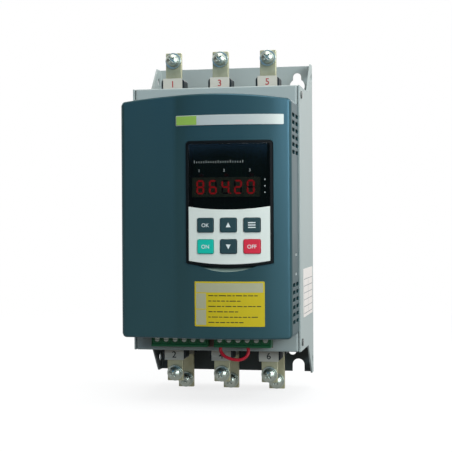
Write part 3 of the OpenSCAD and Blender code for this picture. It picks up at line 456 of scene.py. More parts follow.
def label_fields(name, boxes, material, columns=25):
    """Fields of ink on the cover's label: each box (x0, x1, z0, z1) is a grid bent to the bow."""
    points = []
    faces = []
    for x0, x1, z0, z1 in boxes:
        x, z = np.meshgrid(np.linspace(x0, x1, columns), (z0, z1))
        faces += grid_faces(2, columns, len(points) * 2 * columns)
        points.append(np.stack((x, bow_y(x, LABEL_LIFT + INK), z), 2).reshape(-1, 3))
    made = piece(name, np.concatenate(points), faces, material, "info_label")
    solidify = made.modifiers.new("ink", "SOLIDIFY")
    solidify.thickness = INK


def smooth_path(points, steps):
    """A smooth curve through points: each span blends its four nearest points by the cubic
    p1 + t (p2 - p0) / 2 + t^2 (p0 - 5 p1 / 2 + 2 p2 - p3 / 2) + t^3 (3 p1 - 3 p2 + p3 - p0) / 2."""
    ends = np.concatenate((2 * points[:1] - points[1:2], points, 2 * points[-1:] - points[-2:-1]))
    p0, p1, p2, p3 = (ends[k:len(ends) - 3 + k, None] for k in range(4))
    t = (np.arange(steps) / steps)[None, :, None]
    curve = (p1 + t * (p2 - p0) / 2 + t ** 2 * (p0 - 2.5 * p1 + 2 * p2 - p3 / 2)
             + t ** 3 * (3 * p1 - 3 * p2 + p3 - p0) / 2)
    return np.concatenate((curve.reshape(-1, 3), points[-1:]))


def tube(path, radius, sides):
    """A circle carried along a path: each ring stands square to the path's direction."""
    ahead = np.gradient(path, axis=0)
    ahead /= np.linalg.norm(ahead, axis=1, keepdims=True)
    across = np.cross((0.0, 1.0, 0.0), ahead)
    across /= np.linalg.norm(across, axis=1, keepdims=True)
    third = np.cross(ahead, across)
    turn = np.linspace(0, 2 * np.pi, sides, endpoint=False)[None, :, None]
    rings = path[:, None] + radius * (np.cos(turn) * across[:, None] + np.sin(turn) * third[:, None])
    corner = np.arange(len(path) - 1)[:, None] * sides
    k = np.arange(sides)
    nxt = (k + 1) % sides
    quads = np.stack((corner + k, corner + nxt, corner + sides + nxt, corner + sides + k), 2).reshape(-1, 4)
    last = (len(path) - 1) * sides
    return rings.reshape(-1, 3), quads.tolist() + [k[::-1].tolist(), (last + k).tolist()]


def flat_y(y):
    """A surface that faces the front at one depth."""
    return lambda x: np.full_like(x, y)


def bowed(lift):
    """The bowed bay's face raised by lift, as a surface y(x)."""
    return lambda x: bow_y(x, lift)


def box_outline(x, z, width, height, columns=1):
    """A rectangle about (x, z), with its level sides in as many steps as columns."""
    across = np.linspace(-width / 2, width / 2, columns + 1) + x
    low = np.stack((across, np.full(columns + 1, z - height / 2)), 1)
    high = np.stack((across[::-1], np.full(columns + 1, z + height / 2)), 1)
    return np.concatenate((low, high))


def prisms(outlines, surface, thickness):
    """Points and faces of flat outlines in X and Z, laid on a surface y(x) with a thickness."""
    points = []
    faces = []
    start = 0
    for outline in outlines:
        outline = np.asarray(outline, float)
        count = len(outline)
        y = surface(outline[:, 0])
        for lift in (thickness, 0):
            points.append(np.stack((outline[:, 0], y - lift, outline[:, 1]), 1))
        front = start + np.arange(count)
        around = np.roll(front, -1)
        faces.append(front.tolist())
        faces.append((front[::-1] + count).tolist())
        faces += np.stack((front, front + count, around + count, around), 1).tolist()
        start += 2 * count
    return np.concatenate(points), faces


def marks(name, outlines, surface, material, carrier):
    """Printed shapes, as thin prisms on a surface."""
    points, faces = prisms(outlines, surface, INK)
    piece(name, points, faces, material, carrier)


def lettering(name, words, surface, material, carrier):
    """Printed characters: each word (text, x, z, height) is set in type, meshed and laid on a surface."""
    points = []
    faces = []
    for text, x, z, height in words:
        curve = bpy.data.curves.new(name, "FONT")
        curve.body = text
        curve.size = height / CAPITAL
        curve.align_x = "CENTER"
        curve.extrude = INK / 2
        curve.offset = TYPE_WEIGHT * height
        typed = placed(name + "_type", curve)
        mesh = bpy.data.meshes.new_from_object(typed.evaluated_get(bpy.context.evaluated_depsgraph_get()))
        flat = read(mesh.vertices, "co", 3)
        corners = read(mesh.loops, "vertex_index", kind=np.int32) + sum(map(len, points))
        firsts = read(mesh.polygons, "loop_start", kind=np.int32)
        faces += [corner.tolist() for corner in np.split(corners, firsts[1:])]
        across = flat[:, 0] + x
        up = flat[:, 1] + z - height / 2
        points.append(np.stack((across, surface(across) - flat[:, 2] - INK / 2, up), 1))
        bpy.data.objects.remove(typed)
        bpy.data.curves.remove(curve)
        bpy.data.meshes.remove(mesh)
    piece(name, np.concatenate(points), faces, material, carrier)


def front_middle(node):
    """X and Z of the middle of a node, seen from the front."""
    low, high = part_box(node)
    return np.array(((low.x + high.x) / 2, (low.z + high.z) / 2))


def merged_mesh(node):
    """A node's triangles with shared corners joined and flat facets made into few, convex faces."""
    source = frame["nodes"][node].data
    corners = read(source.loops, "vertex_index", kind=np.int32)
    cells = np.round(read(source.vertices, "co", 3) / WELD).astype(np.int64)
    shared, index = np.unique(cells, axis=0, return_inverse=True)
    triangles = index.ravel()[corners].reshape(-1, 3)
    whole = (triangles != np.roll(triangles, 1, 1)).all(1)
    mesh = bpy.data.meshes.new(node + "_finished")
    mesh.from_pydata((shared * WELD).tolist(), [], triangles[whole].tolist())
    work = bmesh.new()
    work.from_mesh(mesh)
    bmesh.ops.remove_doubles(work, verts=work.verts, dist=WELD)
    bmesh.ops.dissolve_limit(work, angle_limit=FLAT_ANGLE, verts=work.verts, edges=work.edges)
    bmesh.ops.connect_verts_concave(work, faces=work.faces)
    work.to_mesh(mesh)
    work.free()
    return mesh


def dress(node, material, rounding, segments=2, rim=None, rim_rounding=0.0):
    """A merged copy of a node, with its sharp edges rounded by a radius, that stands for the node.

    rim is a function that says which points lie on an edge with a larger rounding.
    """
    mesh = merged_mesh(node)
    mesh.materials.append(material)
    mesh.shade_smooth()
    mesh.set_sharp_from_angle(angle=SHARP_ANGLE)
    made = placed(node + "_finished", mesh)
    widest = max(rounding, rim_rounding)
    if widest:
        sharp = read(mesh.attributes["sharp_edge"].data, "value", kind=bool)
        weight = sharp * rounding / widest
        if rim:
            on_rim = rim(read(mesh.vertices, "co", 3))[read(mesh.edges, "vertices", 2, np.int32)].all(1)
            weight = np.where(sharp & on_rim, rim_rounding / widest, weight)
        stored = mesh.attributes.new("bevel_weight_edge", "FLOAT", "EDGE")
        stored.data.foreach_set("value", weight.astype(np.float32))
        bevel = made.modifiers.new("rounding", "BEVEL")
        bevel.limit_method = "WEIGHT"
        bevel.width = widest
        bevel.segments = segments
        bevel.use_clamp_overlap = False
        bevel.loop_slide = False
        smooth = made.modifiers.new("shading", "WEIGHTED_NORMAL")
        smooth.keep_sharp = True
    carry(made, node)
    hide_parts(node)


def dress_all(nodes, material, rounding):
    """Dresses like nodes in one finish."""
    for node in nodes:
        dress(node, material, rounding)


# Settings.

def swatch(name, words, default):
    """A setting for a colour."""
    return bpy.props.FloatVectorProperty(
        name=name, description=words, subtype="COLOR", size=3, min=0, max=1, default=default)


def measure(name, words, default, unit="LENGTH"):
    """A setting for a length, or for a measure in another unit."""
    return bpy.props.FloatProperty(name=name, description=words, unit=unit, min=0, default=default)


class SOFTSTARTER_PG_colours(bpy.types.PropertyGroup):
    """Colours of the finishes"""
    sheet: swatch("Sheet", "Powder coat of the chassis", linear(168, 177, 173))
    # Painted shade inside the chassis' lower mouth.
    painted_shade: swatch("Painted shade", "Painted shade inside the chassis' lower mouth", linear(58, 68, 68))
    cover: swatch("Cover", "Plastic of the front cover", linear(36, 60, 58))
    # Painted light on the finger scoop's floor.
    scoop: swatch("Scoop", "Painted light on the finger scoop's floor", linear(152, 170, 156))
    strip: swatch("Strip", "Trim strip", linear(208, 211, 203))
    badge: swatch("Badge", "Field at the strip's left end", linear(150, 187, 84))
    label: swatch("Label", "Field of the cover's label", linear(202, 180, 28))
    label_head: swatch("Label head", "Head band of the label", linear(174, 172, 140))
    plate: swatch("Plate", "Nameplate on the right wall", linear(240, 230, 222))
    panel: swatch("Panel", "Bezel round the keys", linear(226, 231, 221))
    frame: swatch("Frame", "Housing of the operator", linear(9, 14, 16))
    key: swatch("Key", "Plain keys", linear(40, 68, 72))
    key_on: swatch("On key", "Key that starts", linear(22, 190, 168))
    key_off: swatch("Off key", "Key that stops", linear(214, 44, 66))
    digit: swatch("Digit", "Light of the digits", (0.9, 0.012, 0.02))
    wire: swatch("Wire", "Insulation of the jumper", linear(214, 30, 50))
    block: swatch("Block", "Control terminal blocks", linear(38, 106, 66))
    tag: swatch("Tag", "Terminal labels", linear(206, 202, 188))


class SOFTSTARTER_PG_sizes(bpy.types.PropertyGroup):
    """Sizes of what is added to the model"""
    fine_edge: measure("Fine edge", "Rounding of sheet and small parts", 0.2 * MM)
    moulded_edge: measure("Moulded edge", "Rounding of moulded parts", 0.35 * MM)
    fold: measure("Fold", "Outside rounding of the front plate's folds", 1.0 * MM)
    cover_rim: measure("Cover rim", "Rounding of the cover's front rim", 1.5 * MM)
    wire_diameter: measure("Wire diameter", "Outside of the jumper", 2.8 * MM)
    window_alpha: bpy.props.FloatProperty(
        name="Window alpha", description="How much the window hides", subtype="FACTOR",
        min=0, max=1, default=0.6)


class SOFTSTARTER_PG_stage(bpy.types.PropertyGroup):
    """Camera and light"""
    eye: bpy.props.FloatVectorProperty(
        name="Eye", description="Place of the camera", subtype="TRANSLATION", unit="LENGTH",
        size=3, default=(0.19633, -1.0533, -0.00197))
    turn: bpy.props.FloatVectorProperty(
        name="Turn", description="Tilt, roll and turn of the camera", subtype="EULER", unit="ROTATION",
        size=3, default=(math.radians(-0.234), math.radians(-0.319), math.radians(11.044)))
    lens: measure("Lens", "Focal length on a sensor 36 mm wide", 91.44, "CAMERA")
    ambient: measure("Ambient", "Strength of the surroundings", 0.85, "NONE")
    key_power: measure("Key", "Power of the light in front on the right", 17.0, "POWER")
    side_power: measure("Side", "Power of the light on the right", 9.0, "POWER")
    top_power: measure("Top", "Power of the light above", 9.5, "POWER")
    fill_power: measure("Fill", "Power of the light in front", 3.5, "POWER")
    rear_power: measure("Rear", "Power of the lights on the left and behind", 6.0, "POWER")
    sky_power: measure("Sky", "Power of the blue light in front", 2.1, "POWER")


class SOFTSTARTER_PG_settings(bpy.types.PropertyGroup):
    """Everything that a user may change"""
    colours: bpy.props.PointerProperty(type=SOFTSTARTER_PG_colours)
    sizes: bpy.props.PointerProperty(type=SOFTSTARTER_PG_sizes)
    stage: bpy.props.PointerProperty(type=SOFTSTARTER_PG_stage)


# Pieces.

class SOFTSTARTER_OT_wire(bpy.types.Operator):
    """The jumper wire: a round section carried along the model's own route"""
    bl_idname = "soft_starter.wire"
    bl_label = "Jumper wire"

    def execute(self, context):
        settings = context.scene.soft_starter
        radius = settings.sizes.wire_diameter / 2
        path = smooth_path(np.array(JUMPER_POINTS) * MM, JUMPER_STEPS)
        points, faces = tube(path, radius, JUMPER_SIDES)
        material = insulation("wire_insulation", settings.colours.wire)
        made = piece("jumper_lead", points, faces, material, "jumper_wire")
        made.data.shade_smooth()
        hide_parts("jumper_wire")
        return {"FINISHED"}


def on_front_fold(points):
    """True where a point lies on the outer edge of the front plate's top or bottom face."""
    low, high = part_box("front_plate")
    bend = 3 * MM
    at_end = np.minimum(np.abs(points[:, 2] - low.z), np.abs(points[:, 2] - high.z)) < NEAR
    front = points[at_end, 1].min()
    half_width = np.abs(points[at_end, 0]).max()
    outside = (points[:, 1] < front + bend) | (np.abs(points[:, 0]) > half_width - NEAR)
    return at_end & outside


class SOFTSTARTER_OT_sheet_metal(bpy.types.Operator):
    """The folded chassis, the front plate and the screws that join them"""
    bl_idname = "soft_starter.sheet_metal"
    bl_label = "Sheet metal"

    def execute(self, context):
        settings = context.scene.soft_starter
        paint = powder_coat("chassis_powder_coat", settings.colours.sheet, settings.colours.painted_shade)
        dress("back_chassis", paint, settings.sizes.fine_edge)
        dress("front_plate", paint, settings.sizes.fine_edge, 3, on_front_fold, settings.sizes.fold)
        zinc = plated_metal("side_screw_zinc", linear(120, 124, 122), linear(90, 92, 90))
        dress("chassis_screws", zinc, settings.sizes.fine_edge)
        return {"FINISHED"}


def on_cover_rim(points):
    """True where a point lies on the outline of the cover's front, seen from the front."""
    x = np.abs(points[:, 0])
    z = points[:, 2]
    straight = COVER_HIGH.x - CORNER_RADIUS
    arch_low = COVER_HIGH.z - ARCH_RADIUS
    arch = arch_low + np.sqrt(ARCH_RADIUS ** 2 - x ** 2)
    corner_top = arch_low + math.sqrt((ARCH_RADIUS - CORNER_RADIUS) ** 2 - straight ** 2)
    corner_low = COVER_LOW.z + CORNER_RADIUS
    beyond = np.maximum(z - corner_top, corner_low - z)
    corner = np.abs(np.hypot(x - straight, beyond) - CORNER_RADIUS) < NEAR
    on_outline = (np.abs(z - arch) < NEAR) | (np.abs(z - COVER_LOW.z) < NEAR)
    on_outline = np.where(x > straight, corner & (beyond > -NEAR), on_outline)
    flat_bay = COVER_LOW.y + FLAT_BAY_DROP
    return on_outline & (points[:, 1] < np.minimum(bow_y(points[:, 0], 0), flat_bay) + RIM_DEPTH)


class SOFTSTARTER_OT_cover(bpy.types.Operator):
    """The moulded front cover, with a rounded front rim"""
    bl_idname = "soft_starter.cover"
    bl_label = "Front cover"

    def execute(self, context):
        settings = context.scene.soft_starter
        slate = cover_plastic("cover_slate", settings.colours.cover, settings.colours.scoop)
        dress("front_cover", slate, settings.sizes.fine_edge, 3, on_cover_rim, settings.sizes.cover_rim)
        return {"FINISHED"}


def text_blocks(left, right, rows):
    """Boxes of ink that stand for rows of print: block lengths repeat, and every other row is short."""
    lengths = (4.2, 2.6, 6.1, 3.4, 1.9, 5.0, 2.9)
    height = 0.8 * MM
    gap = 0.9 * MM
    boxes = []
    for row, z in enumerate(rows):
        end = right if row % 2 == 0 else right - (right - left) / 3
        x = left
        width = lengths[row % len(lengths)] * MM
        block = row
        while x + width <= end:
            boxes.append((x, x + width, z - height / 2, z + height / 2))
            x += width + gap
            block += 1
            width = lengths[block % len(lengths)] * MM
    return boxes


class SOFTSTARTER_OT_trim(bpy.types.Operator):
    """The trim strip, its badge field and the labels, with plain fields and blocks of ink"""
    bl_idname = "soft_starter.trim"
    bl_label = "Trim and labels"

    def execute(self, context):
        colours = context.scene.soft_starter.colours
        dress("trim_strip", brushed_foil("strip_foil", colours.strip), STRIP_EDGE)
        dress("trim_badge", printed("badge_ink", colours.badge), FILM_EDGE)
        dress("info_label", printed("label_film", colours.label), FILM_EDGE)
        dress("side_label", printed("nameplate_film", colours.plate), FILM_EDGE)
        self.nameplate_table()
        self.label_print(colours)
        return {"FINISHED"}

    def label_print(self, colours):
        """Printed on the cover's label: a head band, two fields at the left and rows of blocks."""
        low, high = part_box("info_label")
        margin = 1.2 * MM
        head = 7.6 * MM
        side = 8.4 * MM
        gap = 0.8 * MM
        left, right = low.x + margin, high.x - margin
        bottom, top = low.z + margin, high.z - margin
        middle = (bottom + top - head - gap) / 2
        fields = [
            (left, right, top - head, top),
            (left, left + side, middle + gap / 2, top - head - gap),
            (left, left + side, bottom, middle - gap / 2)]
        label_fields("label_fields", fields, printed("label_grey_ink", colours.label_head))
        above, below, before, after = 2.6 * MM, 2.2 * MM, 2 * MM, 1 * MM
        row_count = 6
        rows = np.linspace(top - head - above, bottom + below, row_count)
        blocks = text_blocks(left + side + before, right - after, rows)
        label_fields("label_rows", blocks, printed("label_dark_ink", linear(70, 66, 30)), columns=2)

    def nameplate_table(self):
        """A bare ruled table on the nameplate: level rules, and uprights at its sides and middle.

        It is laid out as if seen from the right, then turned a quarter about the upright axis.
        """
        low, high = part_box("side_label")
        margin = 3 * MM
        line = 0.45 * MM
        left, right = low.y + margin, high.y - margin
        bottom, top = low.z + margin, high.z - 3 * margin
        middle, centre = (left + right) / 2, (bottom + top) / 2
        rule_count = 6
        levels = np.linspace(bottom, top, rule_count)
        outlines = [box_outline(middle, z, right - left + line, line) for z in levels]
        outlines += [box_outline(y, centre, line, top - bottom) for y in (left, middle, right)]
        points, faces = prisms(outlines, flat_y(0), INK)
        turned = np.stack((high.x - points[:, 1], points[:, 0], points[:, 2]), 1)
        ink = printed("nameplate_ink", linear(96, 98, 100))
        piece("nameplate_rules", turned, faces, ink, "side_label")


# Which of a digit's seven bars are lit: low, middle, high, lower and upper left, lower and upper right.
DIGIT_BARS = {
    "0": (1, 0, 1, 1, 1, 1, 1), "2": (1, 1, 1, 1, 0, 0, 1), "4": (0, 1, 0, 0, 1, 1, 1),
    "6": (1, 1, 1, 1, 1, 1, 0), "8": (1, 1, 1, 1, 1, 1, 1)}
READING = "86420"
POINT_DIGIT = 2
DIGIT_SIZE = (6.4 * MM, 11.4 * MM)
BAR_WIDTH = 1.3 * MM
BAR_GAP = 0.25 * MM
DISPLAY_MARGIN = 1.8 * MM
POINT_PLACE = 1.6 * MM
POINT_RADIUS = 0.55 * MM
POINT_SIDES = 20


def digit_outlines(x, z):
    """A digit's seven bars with pointed ends and its round point, about (x, z)."""
    width = DIGIT_SIZE[0] - BAR_WIDTH
    height = (DIGIT_SIZE[1] - BAR_WIDTH) / 2
    half = BAR_WIDTH / 2
    outlines = []
    for length, upright, places in (
            (width, False, ((0, -height), (0, 0), (0, height))),
            (height, True, ((-width / 2, -height / 2), (-width / 2, height / 2),
                            (width / 2, -height / 2), (width / 2, height / 2)))):
        tip = length / 2 - BAR_GAP
        bar = np.array(((-tip, 0), (half - tip, -half), (tip - half, -half),
                        (tip, 0), (tip - half, half), (half - tip, half)))
        if upright:
            bar = bar[::-1, ::-1]
        outlines += [bar + place + (x, z) for place in np.array(places)]
    turn = np.linspace(0, 2 * np.pi, POINT_SIDES, endpoint=False)
    point = np.stack((np.cos(turn), np.sin(turn)), 1) * POINT_RADIUS
    outlines.append(point + (x + width / 2 + POINT_PLACE, z - height))
    return outlines


class SOFTSTARTER_OT_operator_panel(bpy.types.Operator):
    """The pull-off operator: housing, bezel, window, board and display, with printed marks"""
    bl_idname = "soft_starter.operator_panel"
    bl_label = "Operator panel"

    def execute(self, context):
        settings = context.scene.soft_starter
        colours = settings.colours
        sizes = settings.sizes
        black = moulded("part_black", linear(32, 33, 35), 0.5)
        resin = moulded("display_resin", linear(150, 164, 130), 0.5, grain=0.8, relief=0.08)
        for node, material in (
                ("operator_housing", moulded("housing_black", colours.frame, 0.4, specular=0.15)),
                ("operator_bezel", moulded("bezel_pale", colours.panel, 0.46, grain=0.6, relief=0.12)),
                ("operator_window", smoked_window("window_smoke", linear(3, 9, 11), sizes.window_alpha)),
                ("operator_board", circuit_board("operator_lacquer", linear(16, 62, 40))),
                ("key_switches", black), ("operator_plug", black), ("led_display", resin)):
            dress(node, material, sizes.fine_edge)
        dress("status_lamps", printed("lamp_diffuser", linear(120, 40, 36), 0.3), 0)
        self.digits(colours)
        self.window_marks()
        return {"FINISHED"}

    def digits(self, colours):
        """Five digits in a row on the display's face, each bar with its own glow."""
        low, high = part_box("led_display")
        face, deep = (corner.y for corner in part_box("display_segments"))
        pitch = (high.x - low.x - 2 * DISPLAY_MARGIN) / len(READING)
        first = (low.x + high.x) / 2 - pitch * (len(READING) - 1) / 2
        outlines = []
        glow = []
        for k, figure in enumerate(READING):
            shapes = digit_outlines(first + k * pitch, (low.z + high.z) / 2)
            outlines += shapes
            lit = DIGIT_BARS[figure] + (int(k == POINT_DIGIT),)
            glow.append(np.repeat(lit, [2 * len(shape) for shape in shapes]))
        points, faces = prisms(outlines, flat_y(deep), deep - face)
        material = lit_segments("digit_red", colours.digit, linear(52, 34, 28))
        made = piece("digit_bars", points, faces, material, "display_segments")
        stored = made.data.attributes.new("glow", "FLOAT", "POINT")
        stored.data.foreach_set("value", np.concatenate(glow).astype(np.float32))
        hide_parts("display_segments")

    def window_marks(self):
        """Printed on the window: a scale over the display, lamp numbers and three pointers."""
        ink = printed("window_ink", linear(150, 156, 152), 0.5)
        surface = bowed(PANEL_LIFT)
        low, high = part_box("led_display")
        lamps_low, lamps_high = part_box("status_lamps")
        lamp_r = (lamps_high.z - lamps_low.z) / 2
        lamp_x = np.linspace(lamps_low.x + lamp_r, lamps_high.x - lamp_r, 3)
        number = 2.2 * MM
        numbers = [(str(k + 1), x, lamps_high.z + number, number) for k, x in enumerate(lamp_x)]
        lettering("lamp_numbers", numbers, surface, ink, "operator_window")
        scale_z = lamps_high.z + 8.2 * MM
        scale_start, scale_end = low.x + 3 * MM, low.x + 43 * MM
        divisions = 20
        tick_width, short_tick, long_tick = 0.5 * MM, 1.4 * MM, 2.2 * MM
        ticks = []
        for k, x in enumerate(np.linspace(scale_start, scale_end, divisions + 1)):
            tall = long_tick if k % 5 == 0 else short_tick
            ticks.append(box_outline(x, scale_z + tall / 2, tick_width, tall))
        marks("load_scale", ticks, surface, ink, "operator_window")
        pointer = np.array(((-0.7, 0), (0, -0.8), (0.7, 0), (0, 0.8))) * MM
        pointer_x = high.x + 4.9 * MM
        pointer_z = np.linspace(high.z - 2.2 * MM, low.z + 3.4 * MM, 3)
        pointers = [pointer + (pointer_x, z) for z in pointer_z]
        marks("unit_pointers", pointers, surface, ink, "operator_window")


class SOFTSTARTER_OT_keys(bpy.types.Operator):
    """Six keys with plain signs on them"""
    bl_idname = "soft_starter.keys"
    bl_label = "Keys"

    def execute(self, context):
        settings = context.scene.soft_starter
        colours = settings.colours
        plain, start, stop = (moulded(name, colour, 0.44, grain=0.5, relief=0.12) for name, colour in (
            ("key_slate", colours.key), ("key_green", colours.key_on), ("key_red", colours.key_off)))
        ink = printed("key_ink", linear(228, 234, 230), 0.5)
        surface = bowed(KEY_LIFT)
        for node, material in (
                ("key_set", plain), ("key_up", plain), ("key_menu", plain),
                ("key_run", start), ("key_down", plain), ("key_stop", stop)):
            dress(node, material, settings.sizes.moulded_edge, 3)
        rise = np.array(((-2, -1.7), (2, -1.7), (0, 2.1))) * MM
        bar_width, bar_height, bar_pitch, bar_steps = 6 * MM, 0.8 * MM, 1.9 * MM, 8
        bars = [box_outline(0, k * bar_pitch, bar_width, bar_height, bar_steps) for k in (1, 0, -1)]
        letter = 3.0 * MM
        for node, shapes in (("key_up", [rise]), ("key_down", [-rise]), ("key_menu", bars)):
            marks(node + "_sign", [shape + front_middle(node) for shape in shapes], surface, ink, node)
        for node, text in (("key_set", "OK"), ("key_run", "ON"), ("key_stop", "OFF")):
            x, z = front_middle(node)
            lettering(node + "_sign", [(text, x, z, letter)], surface, ink, node)
        return {"FINISHED"}


class SOFTSTARTER_OT_terminals(bpy.types.Operator):
    """Bars, screws, washers, nuts and insulators of the power terminals, with numbered labels"""
    bl_idname = "soft_starter.terminals"
    bl_label = "Power terminals"

    def execute(self, context):
        settings = context.scene.soft_starter
        sizes = settings.sizes
        tinned = drawn_metal(
            "bar_tinned", linear(210, 207, 174), 0.46, (1, 1, 30), linear(172, 167, 130), metallic=0.75)
        bars = [f"{kind}_{k}" for kind in ("line_bar", "load_bar", "bypass_bar") for k in (1, 2, 3)]
        dress_all(bars, tinned, sizes.moulded_edge)
        zinc = plated_metal("screw_zinc", linear(206, 213, 203), linear(160, 170, 157), 0.3)
        dress_all(("terminal_screws", "terminal_washers", "terminal_nuts"), zinc, sizes.fine_edge)
        black = moulded("insulator_black", linear(24, 32, 36), 0.42)
        dress_all(("line_insulator", "load_insulator", "bypass_insulators"), black, sizes.moulded_edge)
        dress("terminal_labels", printed("tag_film", settings.colours.tag, 0.44), TAG_EDGE)
        self.numbers()
        return {"FINISHED"}

    def numbers(self):
        """Odd numbers in red on the upper labels, even ones in black on the lower ones."""
        low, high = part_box("terminal_labels")
        height = 5.6 * MM
        edge = 4.9 * MM
        surface = flat_y(low.y)
        places = [front_middle(f"line_bar_{k}")[0] for k in (1, 2, 3)]
        for name, first, z, ink in (
                ("line_numbers", 1, high.z - edge, printed("tag_red_ink", linear(172, 40, 44), 0.5)),
                ("load_numbers", 2, low.z + edge, printed("tag_black_ink", linear(28, 30, 26), 0.5))):
            words = [(str(first + 2 * k), x, z, height) for k, x in enumerate(places)]
            lettering(name, words, surface, ink, "terminal_labels")


class SOFTSTARTER_OT_control(bpy.types.Operator):
    """Control terminal blocks, their screws, the control board and the parts on it"""
    bl_idname = "soft_starter.control"
    bl_label = "Control board"

    def execute(self, context):
        settings = context.scene.soft_starter
        sizes = settings.sizes
        green = moulded("block_green", settings.colours.block, 0.4, grain=0.5, relief=0.1)
        dress_all(("control_terminal_left", "control_terminal_right"), green, sizes.fine_edge)
        bright = plated_metal("clamp_zinc", linear(156, 164, 156), linear(120, 128, 120), 0.22)
        dress("control_terminal_screws", bright, CLAMP_EDGE)
        dress("control_board", circuit_board("control_laminate", linear(88, 52, 38)), sizes.fine_edge)
        dress("board_supports", moulded("support_nylon", linear(214, 212, 204), 0.5), sizes.fine_edge)
        blue = moulded("relay_blue", linear(48, 74, 140), 0.3, grain=0.8, relief=0.06)
        dress("relays", blue, sizes.moulded_edge)
        core = drawn_metal("core_laminations", linear(96, 90, 84), 0.5, (30, 1, 30), linear(70, 62, 54))
        dress("supply_transformer", core, sizes.moulded_edge)
        black = moulded("socket_black", linear(30, 31, 33), 0.5)
        dress_all(("pulse_transformers", "operator_socket"), black, sizes.fine_edge)
        return {"FINISHED"}


class SOFTSTARTER_OT_power(bpy.types.Operator):
    """Heatsink, posts, thyristor modules and current transformers"""
    bl_idname = "soft_starter.power"
    bl_label = "Power section"

    def execute(self, context):
        sizes = context.scene.soft_starter.sizes
        aluminium = drawn_metal(
            "sink_extrusion", linear(196, 198, 198), 0.4, (1, 1, 60), linear(172, 174, 176))
        dress("heatsink", aluminium, sizes.fine_edge)
        zinc = plated_metal("inner_zinc", linear(200, 204, 202), linear(168, 174, 170))
        dress_all(("heatsink_posts", "heatsink_screws", "module_screws", "bar_screws"),
                  zinc, sizes.fine_edge)
        shell = moulded("module_shell", linear(58, 58, 60), 0.5)
        core = moulded("transformer_shell", linear(44, 52, 70), 0.46)
        for k in (1, 2, 3):
            dress(f"thyristor_module_{k}", shell, sizes.moulded_edge)
            dress(f"current_transformer_{k}", core, sizes.moulded_edge, 3)
        return {"FINISHED"}


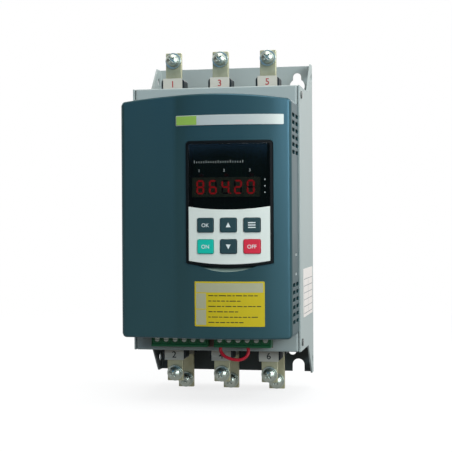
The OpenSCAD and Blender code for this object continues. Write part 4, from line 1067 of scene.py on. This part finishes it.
class SOFTSTARTER_OT_stage(bpy.types.Operator):
    """Floor, surroundings, lights and camera"""
    bl_idname = "soft_starter.stage"
    bl_label = "Stage"

    def execute(self, context):
        stage = context.scene.soft_starter.stage
        self.floor()
        self.surroundings(context.scene, stage.ambient)
        aim = (CAD_BOX[0] + CAD_BOX[1]) / 2
        cool = (0.84, 0.94, 1.0)
        white = (1.0, 1.0, 0.98)
        blue = (0.2, 0.55, 1.0)
        square, broad, band = (0.8, 0.8), (0.9, 0.9), (1.6, 0.5)
        for name, angles, size, power, colour in (
                ("key_light", (43, 13), square, stage.key_power, cool),
                ("side_light", (96, 30), square, stage.side_power, cool),
                ("top_light", (5, 62), broad, stage.top_power, white),
                ("fill_light", (25, 42), square, stage.fill_power, white),
                ("left_light", (-108, 28), broad, stage.rear_power, white),
                ("back_light", (170, 30), broad, stage.rear_power, white),
                ("sky_light", (-9, 13.9), band, stage.sky_power, blue)):
            self.light(name, angles, size, power, colour, aim)
        self.camera(context.scene, stage)
        context.scene.view_settings.view_transform = "Standard"
        return {"FINISHED"}

    def floor(self):
        """A wide floor just below the object, dark to bounced light.

        The camera sees it white, with a soft shadow near the object and none far from it.
        """
        reach, gap = 6.0, 0.5 * MM
        z = CAD_BOX[0].z - gap
        corners = np.array(((-reach, -reach, z), (reach, -reach, z), (reach, reach, z), (-reach, reach, z)))
        mesh = bpy.data.meshes.new("floor")
        mesh.from_pydata(corners.tolist(), [], [(0, 1, 2, 3)])
        dark = (0.1, 0.1, 0.1)
        pale = (0.9, 0.9, 0.9, 1.0)
        near, far = 0.3, 0.9
        near_glow, mirrored_glow = 0.8, 0.4
        finish = Finish("floor_pale", dark, 0.9, Specular_IOR_Level=0.0)
        seen = finish.node("ShaderNodeLightPath", output="Is Camera Ray")
        finish.set("Base Color", finish.mix(seen, finish.colour, pale))
        glossy = finish.node("ShaderNodeLightPath", output="Is Glossy Ray")
        through = finish.node("ShaderNodeLightPath", output="Is Transmission Ray")
        away = finish.vector("LENGTH", finish.place)
        glow = finish.ramp(away, near, far, near_glow, 1.0) * seen + mirrored_glow * (glossy + through)
        white = finish.node("ShaderNodeEmission", sockets={"Color": (1, 1, 1, 1)})
        mixed = finish.node("ShaderNodeMixShader", sockets={
            0: glow, 1: Value(finish, finish.shader.outputs[0]), 2: white})
        finish.feed(finish.nodes["Material Output"].inputs["Surface"], mixed)
        mesh.materials.append(finish.material)
        made = placed("floor", mesh)

    def surroundings(self, scene, ambient):
        """White behind the object for the camera; a softer light on it, brightest from behind and above."""
        scene.world = bpy.data.worlds.new("surroundings")
        sky = Tree(scene.world)
        direction = sky.node("ShaderNodeTexCoord", output="Generated")
        brightest = Vector((0.18, 0.75, 0.62)).normalized()
        dark_end, bright_end, dimmest = -0.4, 0.6, 0.05
        side = sky.vector("DOT_PRODUCT", direction, brightest)
        light = sky.ramp(side, dark_end, bright_end, dimmest * ambient, ambient)
        seen = sky.node("ShaderNodeLightPath", output="Is Camera Ray")
        through = sky.node("ShaderNodeLightPath", output="Is Transmission Ray")
        back = sky.nodes["Background"]
        sky.feed(back.inputs["Color"], (1, 1, 1, 1))
        sky.feed(back.inputs["Strength"], light + (seen + through) * (1 - light))

    def light(self, name, angles, size, power, colour, aim):
        """A soft light that faces the object, at angles to the right of the front and upwards."""
        across, up = map(math.radians, angles)
        place = aim + LIGHT_DISTANCE * Vector((
            math.sin(across) * math.cos(up), -math.cos(across) * math.cos(up), math.sin(up)))
        lamp = bpy.data.lights.new(name, "AREA")
        lamp.shape = "RECTANGLE"
        lamp.size, lamp.size_y = size
        lamp.energy = power
        lamp.color = colour
        made = placed(name, lamp)
        made.location = place
        made.rotation_euler = (aim - place).to_track_quat("-Z", "Y").to_euler()

    def camera(self, scene, stage):
        """A level camera turned about its own axis by roll, tilted, then turned towards the object."""
        tilt, roll, turn = stage.turn
        data = bpy.data.cameras.new("camera")
        data.lens = stage.lens
        made = placed("camera", data)
        upright = Euler((math.pi / 2 + tilt, 0, turn)).to_matrix()
        rolled = upright @ Matrix.Rotation(roll, 3, "Z")
        made.matrix_world = Matrix.Translation(stage.eye) @ rolled.to_4x4()
        scene.camera = made


PIECES = (
    SOFTSTARTER_OT_wire, SOFTSTARTER_OT_sheet_metal, SOFTSTARTER_OT_cover, SOFTSTARTER_OT_trim,
    SOFTSTARTER_OT_operator_panel, SOFTSTARTER_OT_keys, SOFTSTARTER_OT_terminals,
    SOFTSTARTER_OT_control, SOFTSTARTER_OT_power)


class SOFTSTARTER_PT_panel(bpy.types.Panel):
    """Lists the pieces and their settings"""
    bl_label = "Soft Starter"
    bl_idname = "SOFTSTARTER_PT_panel"
    bl_space_type = "VIEW_3D"
    bl_region_type = "UI"
    bl_category = "Soft Starter"

    def draw(self, context):
        settings = context.scene.soft_starter
        for made in (SOFTSTARTER_OT_stage, *PIECES):
            self.layout.operator(made.bl_idname)
        for group in (settings.colours, settings.sizes, settings.stage):
            box = self.layout.box()
            for name in group.__annotations__:
                box.prop(group, name)


CLASSES = (
    SOFTSTARTER_PG_colours, SOFTSTARTER_PG_sizes, SOFTSTARTER_PG_stage, SOFTSTARTER_PG_settings,
    SOFTSTARTER_OT_stage, *PIECES, SOFTSTARTER_PT_panel)


def register():
    for made in CLASSES:
        bpy.utils.register_class(made)
    bpy.types.Scene.soft_starter = bpy.props.PointerProperty(type=SOFTSTARTER_PG_settings)


def unregister():
    del bpy.types.Scene.soft_starter
    for made in reversed(CLASSES):
        bpy.utils.unregister_class(made)


def main():
    register()
    bpy.ops.soft_starter.stage()
    for made in PIECES:
        getattr(bpy.ops.soft_starter, made.bl_idname.split(".")[1])()


if __name__ == "__main__":
    main()
